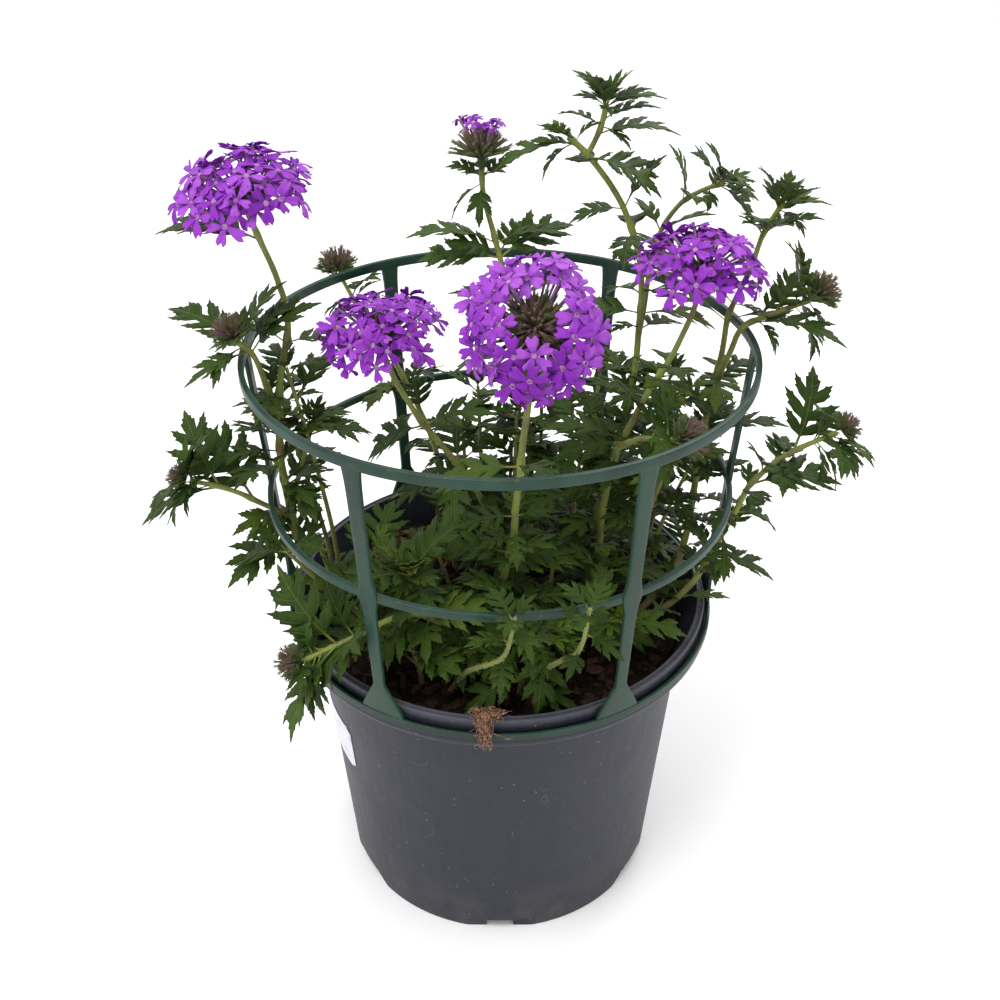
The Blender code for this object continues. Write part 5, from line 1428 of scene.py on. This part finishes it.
# The shoots that end in a bloom, and those that end in a bloom or a bud head.
bearers = {
    ("stems_left", 0), ("stem_middle_bloom", 0), ("stem_front_bloom", 0), ("stem_right_bloom", 0),
    ("stem_back_bloom", 0),
}
headed = bearers | {
    ("stems_left", 1), ("stems_left", 2), ("stems_right", 0), ("stems_right", 2), ("stem_right_bloom", 1),
    ("stem_back_bud", 0), ("stem_low_front", 0),
}
obstacles = [tree_of(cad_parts[name].data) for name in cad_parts
             if name.startswith(("bloom", "bud", "ring", "pot"))]


def clear_leaf(place, along_stem, side, rise, length, rng, face=SKYWARD):
    """A small leaf that turns its face one way and meets no obstacle, or None."""
    up = along_stem * FACE_ALONG + Vector(face)
    for swing in SIDE_SWINGS:
        frame_of = leaf_frame(leaning(along_stem, side, swing, rise), up)
        kind = "small" if length < SMALL_SIDE_LEAF else rng.choice(SIDE_LEAF_KINDS)
        pattern, bend = rng.choice(LEAF_PATTERNS[kind]), rng.uniform(*SIDE_BENDS)
        leaf = leaf_at(place, frame_of, length, pattern, rng, bend)
        tree = BVHTree.FromPolygons(leaf[0], leaf[1])
        low = min(co.z for co in leaf[0]) < (SOIL_Z + 1.0) * MM
        if not low and not any(tree.overlap(other) for other in obstacles):
            return leaf
    return None


def leaves_up(line, nodes, lengths, rises, rng):
    """Opposite pairs of leaves at the nodes of a line, each pair turned from the last."""
    out = []
    turn = rng.uniform(0.0, 180.0)
    for share in nodes:
        place, direction = along(line, share)
        turn += 90.0 + rng.uniform(-25.0, 25.0)
        for side in pair_sides(line, share, turn):
            length = rng.uniform(*lengths)
            leaf = clear_leaf(place + side * AXIL_LIFT, direction, side, rng.uniform(*rises), length, rng)
            if leaf:
                out.append(leaf)
    return out


rng = random.Random(77)
side_leaves = []
for (stem_name, index), (points, radii) in stem_lines.items():
    top = BARE_UNDER_BLOOM if (stem_name, index) in bearers else LEAFY_TO
    count = int(length_of(points) / AXIL_SPACING)
    nodes = []
    for k in range(count):
        share = top * (k + 0.5 + rng.uniform(-0.2, 0.2)) / count
        height = along(points, share)[0].z
        thin = height > OPEN_ABOVE or stem_name in OPEN_STEMS
        if height > SOIL_Z + 8.0 and (k % 3 == 0 or not thin):
            nodes.append(share)
    side_leaves += leaves_up(points, nodes, *AXIL_LEAVES, rng)
    if (stem_name, index) not in bearers:
        side_leaves += leaves_up(points, *UPPER_LEAVES, rng)
    if (stem_name, index) not in headed:
        tip_leaves = leaves_up(points, *TIP_LEAVES, rng)
        side_leaves += [(*leaf[:3], leaf[3] + FRESH) for leaf in tip_leaves]
for pairs, face in ((FULL_PAIRS, SKYWARD), (FRONT_PAIRS, FORWARD), (CUPPING_PAIRS, CUPPING)):
    for stem_name, index, share, turn, length, rise in pairs:
        points, _ = stem_lines[stem_name, index]
        place, direction = along(points, share)
        for side in pair_sides(points, share, turn):
            leaf = clear_leaf(place + side * AXIL_LIFT, direction, side, rise, length, rng, face)
            if leaf:
                side_leaves.append(leaf)
axils = thin_sheets("side_leaves", side_leaves, leaf_finishes, "leaf", LEAF_SHEET)
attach(axils, "root")

low_stalks, low_leaves, low_down = [], [], []
for x, y, turn, reach, height, early, leafy in LOW_SHOOTS:
    lean = polar(reach, math.radians(turn), 0.0)
    foot = Vector((x, y, SOIL_Z - SHOOT_SINK))
    route = [foot, foot + lean * (0.15 + 0.2 * early) + Vector((0, 0, 0.35 * height)),
             foot + lean * (0.55 + 0.3 * early) + Vector((0, 0, 0.7 * height)),
             foot + lean + Vector((0, 0, height))]
    points = smooth_route(route, 2.5)
    radii = [SHOOT_RADIUS - SHOOT_TAPER * i / len(points) for i in range(len(points))]
    low_stalks.append(swept(points, radii, SHOOT_SIDES))
    low_down += hairs_along(points, radii, SHOOT_DOWN_PER_MM, (0.5, 1.0), rng)
    pairs = max(2, round(leafy * height / LEAFY_SPACING))
    nodes = [0.97 - leafy * k / pairs for k in range(pairs)]
    low_leaves += leaves_up(points, nodes, (20.0 - 4.0 * early, 35.0 - 13.0 * early), (10.0, 50.0), rng)
    low_leaves += leaves_up(points, *LOW_TIP_LEAVES, rng)
# Painted shade: the low leaves' tints are scaled down to darken them, as the leaves above would shade
# them.
low_leaves = [(corners, faces, chart, LOW_LEAF_PAINTED_SHADE * tint) for corners, faces, chart, tint in low_leaves]
low_growth = thin_sheets("low_leaves", low_leaves, leaf_finishes, "leaf", LEAF_SHEET)
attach(low_growth, "root")
low_stems = smoothed(gathered("low_stalks", low_stalks, stem_finish), 60.0)
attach(low_stems, "root")
low_fuzz = gathered("low_down", low_down, hair_finish)
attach(low_fuzz, "root")

# ---- Blooms --------------------------------------------------------------------------------------
# Domed heads of purple florets. A floret is a slender tube out of a downy calyx, with five notched
# petals round a pale eye. The front head is fully open, round a bristling core of spent calyxes.
BLOOM_HEART = 0.25          # height of the point that the florets spread from, in bloom radii
FLORET_TILT = 0.42          # how far a floret turns from the dome to face up along its head
GOLDEN_ANGLE = math.radians(137.508)
PETAL_SHEET = 0.22
FLORET_RADIUS = 8.6
THROAT_RADIUS = 0.75
FLORET_REACH = (-0.8, 5.8)  # how far inside the dome a floret's face may lie
FLORET_NOD = 0.27           # scatter of the ways that the florets face
FULL_HEAD = 26.0            # in a head of a lesser radius than this the florets are smaller too
PETALS = 5
# Shares of the way out along a petal, and of its half width, at which its grid has corners.
PETAL_ROWS, PETAL_COLUMNS = (0.0, 0.1, 0.26, 0.48, 0.7, 0.88, 1.0), (-1.0, -0.55, 0.0, 0.55, 1.0)
CALYX_RINGS = 5
CALYX_TEETH = 5
CALYX_HAIRS = 9
TOOTH_WIDTH = 0.2
PETAL_DEEP = (0.155, 0.006, 0.31)
PETAL_MAIN = (0.24, 0.022, 0.43)
PETAL_PALE = (0.35, 0.075, 0.54)
PETAL_EYE = (0.55, 0.25, 0.42)
TUBE_PURPLE = (0.28, 0.12, 0.3)
TUBE_PALE = (0.42, 0.27, 0.4)
CALYX_GREEN = (0.1, 0.11, 0.03)
CALYX_PURPLE = (0.21, 0.11, 0.12)
YOUNG_CALYX_DARK = (0.05, 0.085, 0.018)
YOUNG_CALYX_LIGHT = (0.14, 0.15, 0.06)
OUTER_RING = 0.5            # calyxes whose way is less along the head's axis than this are young
# name -> (stem, index of its shoot, way the bloom faces, radius, how far the dome is pressed down,
# florets, polar angles of the first and last floret, half width of a petal in its lengths, how much
# paler it is, bare calyxes in the middle, how far round they spread, and their length in radii)
BLOOMS = {
    "bloom_left": ("stems_left", 0, (-0.12, -0.12, 0.98), 26.0, 0.28, 50, 0, 84, 0.26, 0, 8, 20, 0.4),
    "bloom_middle":
        ("stem_middle_bloom", 0, (-0.1, -0.15, 0.98), 25.0, 0.42, 44, 0, 85, 0.26, 0, 8, 20, 0.4),
    "bloom_front":
        ("stem_front_bloom", 0, (0.03, -0.75, 0.66), 26.5, 0.16, 54, 38, 106, 0.31, 0.15, 90, 54, 0.45),
    "bloom_right":
        ("stem_right_bloom", 0, (0.05, -0.05, 1.0), 27.0, 0.4, 42, 0, 90, 0.26, 0, 24, 20, 0.4),
    "bloom_back":
        ("stem_back_bloom", 0, (-0.05, 0.2, 0.98), 17.0, -0.15, 12, 4, 42, 0.29, 0, 80, 82, 0.75),
}

petal_finish = Finish("petal", Specular_IOR_Level=0.25, Subsurface_Weight=0.08, Subsurface_Scale=0.001)
chart = petal_finish.node("ShaderNodeUVMap", {"uv_map": "petal"})
outward_share = petal_finish.split(chart, 0)
across_share = abs(petal_finish.split(chart, 1) - 0.5) * 2.0
tint = petal_finish.node("ShaderNodeAttribute", {"attribute_name": "tint"}, output=2)
spot = petal_finish.place()
clouds = petal_finish.noise(spot, 260.0, 3.0)
streaks = petal_finish.maths("SINE", across_share * 19.0) * 0.5 + 0.5
shade = (tint * 0.85 + clouds * 0.45 - 0.13).clamped()
purple = petal_finish.ramp(shade, (0.12, PETAL_DEEP), (0.5, PETAL_MAIN), (0.95, PETAL_PALE))
purple = petal_finish.mixed((1.0 - outward_share.rising(0.1, 0.5)) * 0.55, purple, PETAL_DEEP)
purple = petal_finish.mixed(outward_share.rising(0.7, 1.0) * 0.25, purple, PETAL_PALE)
purple = petal_finish.mixed(1.0 - outward_share.rising(0.01, 0.05), purple, PETAL_EYE)
petal_finish.feed("Base Color", purple)
petal_finish.feed("Roughness", 0.6 - clouds * 0.15)
petal_finish.bump(streaks * outward_share.rising(0.1, 0.4), 0.00006)
petal_finish.bump(petal_finish.noise(spot, 500.0, 3.0), 0.00015)

tube_finish = Finish("floret_tube", Roughness=0.6)
tube_tone = tube_finish.noise(tube_finish.place(), 240.0, 3.0)
tube_finish.feed("Base Color", tube_finish.mixed(tube_tone, TUBE_PURPLE, TUBE_PALE))
tube_finish.bump(tube_finish.noise(tube_finish.place(), 900.0, 2.0), 0.0001)


def calyx_colours(name, first, second):
    """The finish of downy calyxes, in two mottled tones."""
    finish = Finish(name, Roughness=0.75)
    tone = finish.noise(finish.place(), 210.0, 4.0)
    finish.feed("Base Color", finish.mixed(tone.rising(0.35, 0.65), first, second))
    finish.feed("Roughness", 0.6 + tone * 0.3)
    finish.bump(finish.noise(finish.place(), 1600.0, 2.0), 0.00015)
    return finish


calyx_finish = calyx_colours("downy_calyx", CALYX_GREEN, CALYX_PURPLE)
young_calyx_finish = calyx_colours("young_calyx", YOUNG_CALYX_DARK, YOUNG_CALYX_LIGHT)


def facing(axis):
    """The turn that brings Z to the axis."""
    return Vector((0.0, 0.0, 1.0)).rotation_difference(axis).to_matrix()


def seat_of(stem, index, axis):
    """The middle of a head's underside, on the end of its stem."""
    return route_line(SHOOTS[stem][index][0])[-1] + axis * GAP


def spread_round(axis, count, first, last, rng, jitter=0.0):
    """Directions spaced evenly round an axis, between two polar angles in degrees."""
    turn = facing(axis)
    top, low = math.cos(math.radians(first)), math.cos(math.radians(last))
    for i in range(count):
        height = top + (low - top) * (i + 0.5) / count
        reach = math.sqrt(max(0.0, 1.0 - height * height))
        angle = GOLDEN_ANGLE * i
        way = turn @ Vector((reach * math.cos(angle), reach * math.sin(angle), height))
        yield (way + Vector(rng.gauss(0.0, jitter) for _ in range(3))).normalized()


def petal(angle, reach, droop, fold, wide):
    """A notched petal as a grid: its corners, faces and petal coordinates."""
    corners, where = [], []
    for s in PETAL_ROWS:
        for c in PETAL_COLUMNS:
            end = 0.78 + 0.22 * math.sin(math.pi * min(1.0, abs(c) * 0.92)) - 0.06 * abs(c) ** 3
            length = THROAT_RADIUS + (reach - THROAT_RADIUS) * s * (1.0 - (1.0 - end) * s * s)
            half = wide * (0.3 + 0.7 * math.sin(min(1.0, s * 1.12) * math.pi / 2.0) ** 1.25)
            lift = -0.5 * (1.0 - s) ** 6 - droop * s * s + fold * (abs(c) * s) - 0.25 * (1 - abs(c)) * s
            side = c * half
            corners.append(Vector((
                length * math.cos(angle) - side * math.sin(angle),
                length * math.sin(angle) + side * math.cos(angle), lift,
            )))
            where.append((s, 0.5 + 0.5 * c))
    faces = []
    across = len(PETAL_COLUMNS)
    for i in range(len(PETAL_ROWS) - 1):
        for j in range(across - 1):
            a = i * across + j
            faces.append((a, a + across, a + across + 1, a + 1))
    return corners, faces, where


def floret(face_place, outward, reach, petal_width, paler, rng):
    """The petals of a floret, two of them smaller than the rest."""
    turn = facing(outward) @ Matrix.Rotation(rng.uniform(0.0, FULL_TURN), 3, "Z")
    tint = rng.random() + paler
    lean = rng.uniform(0.0, 1.4)
    out = []
    for k in range(PETALS):
        angle = 2.0 * math.pi * (k + rng.uniform(-0.07, 0.07)) / PETALS
        size = reach * (1.0 - 0.12 * (k in (0, 1)) + rng.uniform(-0.05, 0.05))
        droop = lean + rng.uniform(-1.3, 1.5)
        corners, faces, where = petal(angle, size, droop, rng.uniform(-0.5, 1.0), size * petal_width)
        out.append(([(turn @ co + face_place) * MM for co in corners], faces, where, tint))
    return out


def calyx(root, way, length, rng, girth=1.0):
    """A downy ribbed calyx: a narrow tube, its five teeth, and the hairs on it."""
    bend = Vector(rng.gauss(0.0, 0.05) for _ in range(3))
    points, radii = [], []
    for k in range(CALYX_RINGS):
        t = k / (CALYX_RINGS - 1.0)
        points.append(root + (way + bend * t) * length * t)
        radii.append(girth * (0.55 + 0.5 * math.sin(math.pi * min(1.0, 0.15 + 0.75 * t))))
    parts = [swept(points, radii, 6)]
    end, heading = points[-1], (points[-1] - points[-2]).normalized()
    side = heading.orthogonal().normalized()
    for k in range(CALYX_TEETH):
        around = Matrix.Rotation(2.0 * math.pi * k / CALYX_TEETH + root.x, 3, heading) @ side
        tooth = (heading + around * 0.35).normalized()
        tooth_foot = end + around * radii[-1] * 0.8
        parts.append(hair(tooth_foot, tooth, rng.uniform(1.2, 2.2), TOOTH_WIDTH, around * 0.1))
    for _ in range(CALYX_HAIRS):
        t = rng.random()
        place = root.lerp(end, t)
        around = Matrix.Rotation(rng.uniform(0.0, FULL_TURN), 3, heading) @ side
        lean = (around + heading * 0.6).normalized()
        reach = rng.uniform(0.6, 1.3)
        parts.append(hair(place + around * 0.8 * girth, lean, reach, HAIR_WIDTH, heading * 0.1))
    return parts


def calyx_piece(name, young, old):
    """One piece from the parts of green young calyxes and of purple-brown old ones."""
    piece = gathered(name, young + old, calyx_finish)
    piece.data.materials.append(young_calyx_finish.material)
    for polygon in piece.data.polygons[:sum(len(sides) for _, sides in young)]:
        polygon.material_index = 1
    return smoothed(piece, 60.0)


rng = random.Random(8)
for bloom_name, shape in BLOOMS.items():
    stem, index, faces_way, radius, press, count, first, last, *rest = shape
    petal_width, paler, spent, widest, brush_share = rest
    axis = Vector(faces_way).normalized()
    heart = seat_of(stem, index, axis) + axis * BLOOM_HEART * radius
    petals, tubes, young, old = [], [], [], []
    for i, outward in enumerate(spread_round(axis, count, first, last, rng, 0.07)):
        reach = radius - rng.uniform(*FLORET_REACH)
        face_place = heart + outward * reach - axis * outward.dot(axis) * press * reach
        size = FLORET_RADIUS * rng.uniform(0.84, 1.04) * min(1.0, (radius / FULL_HEAD) ** 1.4)
        looks = outward.lerp(axis, FLORET_TILT) + Vector(rng.gauss(0.0, FLORET_NOD) for _ in range(3))
        looks.normalize()
        petals += floret(face_place, looks, size, petal_width, paler, rng)
        root = heart + outward * 0.08 * radius - axis * 0.1 * radius
        way = (face_place - root).normalized()
        span = (face_place - root).length
        young += calyx(root, way, 0.5 * span, rng)
        bow = axis * rng.uniform(-0.4, 0.8)
        throat = [root + way * span * t + bow * math.sin(math.pi * t) for t in (0.42, 0.6, 0.8, 0.93)]
        throat.append(face_place - looks * 0.45)
        tubes.append(swept(throat, [0.5, 0.5, 0.58, 0.75, THROAT_RADIUS + 0.35], 7))
    for way in spread_round(axis, spent, 0, widest, rng, 0.05):
        length = radius * brush_share * rng.uniform(0.8, 1.06)
        spiky = calyx(heart + way * 0.06 * radius, way, length, rng, 0.7)
        (young if way.dot(axis) < OUTER_RING else old).extend(spiky)
    seat = seat_of(stem, index, axis)
    young.append(swept([seat - axis * 2.0, seat.lerp(heart, 0.6), heart + axis], [1.1, 1.9, 1.5], 10))
    head = thin_sheets(bloom_name + "_petals", petals, [petal_finish], "petal", PETAL_SHEET)
    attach(head, "root")
    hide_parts(bloom_name)
    throats = smoothed(gathered(bloom_name + "_tubes", tubes, tube_finish), 60.0)
    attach(throats, "root")
    cups = calyx_piece(bloom_name + "_calyxes", young, old)
    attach(cups, "root")

# ---- Bud heads -----------------------------------------------------------------------------------
# Heads still in bud: a tight brush of downy calyxes, green at the foot and purple-brown at the tips.
BUD_HEART = 0.5             # height of the point that the calyxes spread from, in head radii
BRISTLE_REACH = 1.25
BRISTLE_GIRTH = 0.24
# name -> (stem, index of its shoot, way it faces, radius, calyxes)
BUD_HEADS = {
    "bud_upper_left": ("stems_left", 1, (-0.3, -0.1, 0.95), 6.5, 110),
    "bud_far_left": ("stems_left", 2, (-0.8, -0.1, 0.6), 4.5, 80),
    "bud_right": ("stems_right", 2, (0.7, 0.1, 0.7), 7.0, 120),
    "bud_far_right": ("stems_right", 0, (0.8, 0.0, 0.6), 5.0, 80),
    "bud_inner_right": ("stem_right_bloom", 1, (0.8, -0.25, 0.55), 7.2, 150),
    "bud_back": ("stem_back_bud", 0, (-0.1, 0.0, 1.0), 7.0, 130),
    "bud_low_front": ("stem_low_front", 0, (-0.9, -0.3, 0.3), 5.5, 90),
}

rng = random.Random(4)
for bud_name, (stem, index, faces_way, radius, count) in BUD_HEADS.items():
    axis = Vector(faces_way).normalized()
    seat = seat_of(stem, index, axis)
    young, old = [], []
    for way in spread_round(axis, count, 0, 96, rng, 0.08):
        root = seat + way * 0.1 * radius + axis * 0.15 * radius
        aim = seat + axis * BUD_HEART * radius + way * BRISTLE_REACH * radius - root
        length = aim.length * rng.uniform(0.8, 1.02)
        bristle = calyx(root, aim.normalized(), length, rng, BRISTLE_GIRTH + 0.03 * radius)
        (young if way.dot(axis) < OUTER_RING else old).extend(bristle)
    bud = calyx_piece(bud_name + "_calyxes", young, old)
    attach(bud, "root")
    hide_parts(bud_name)
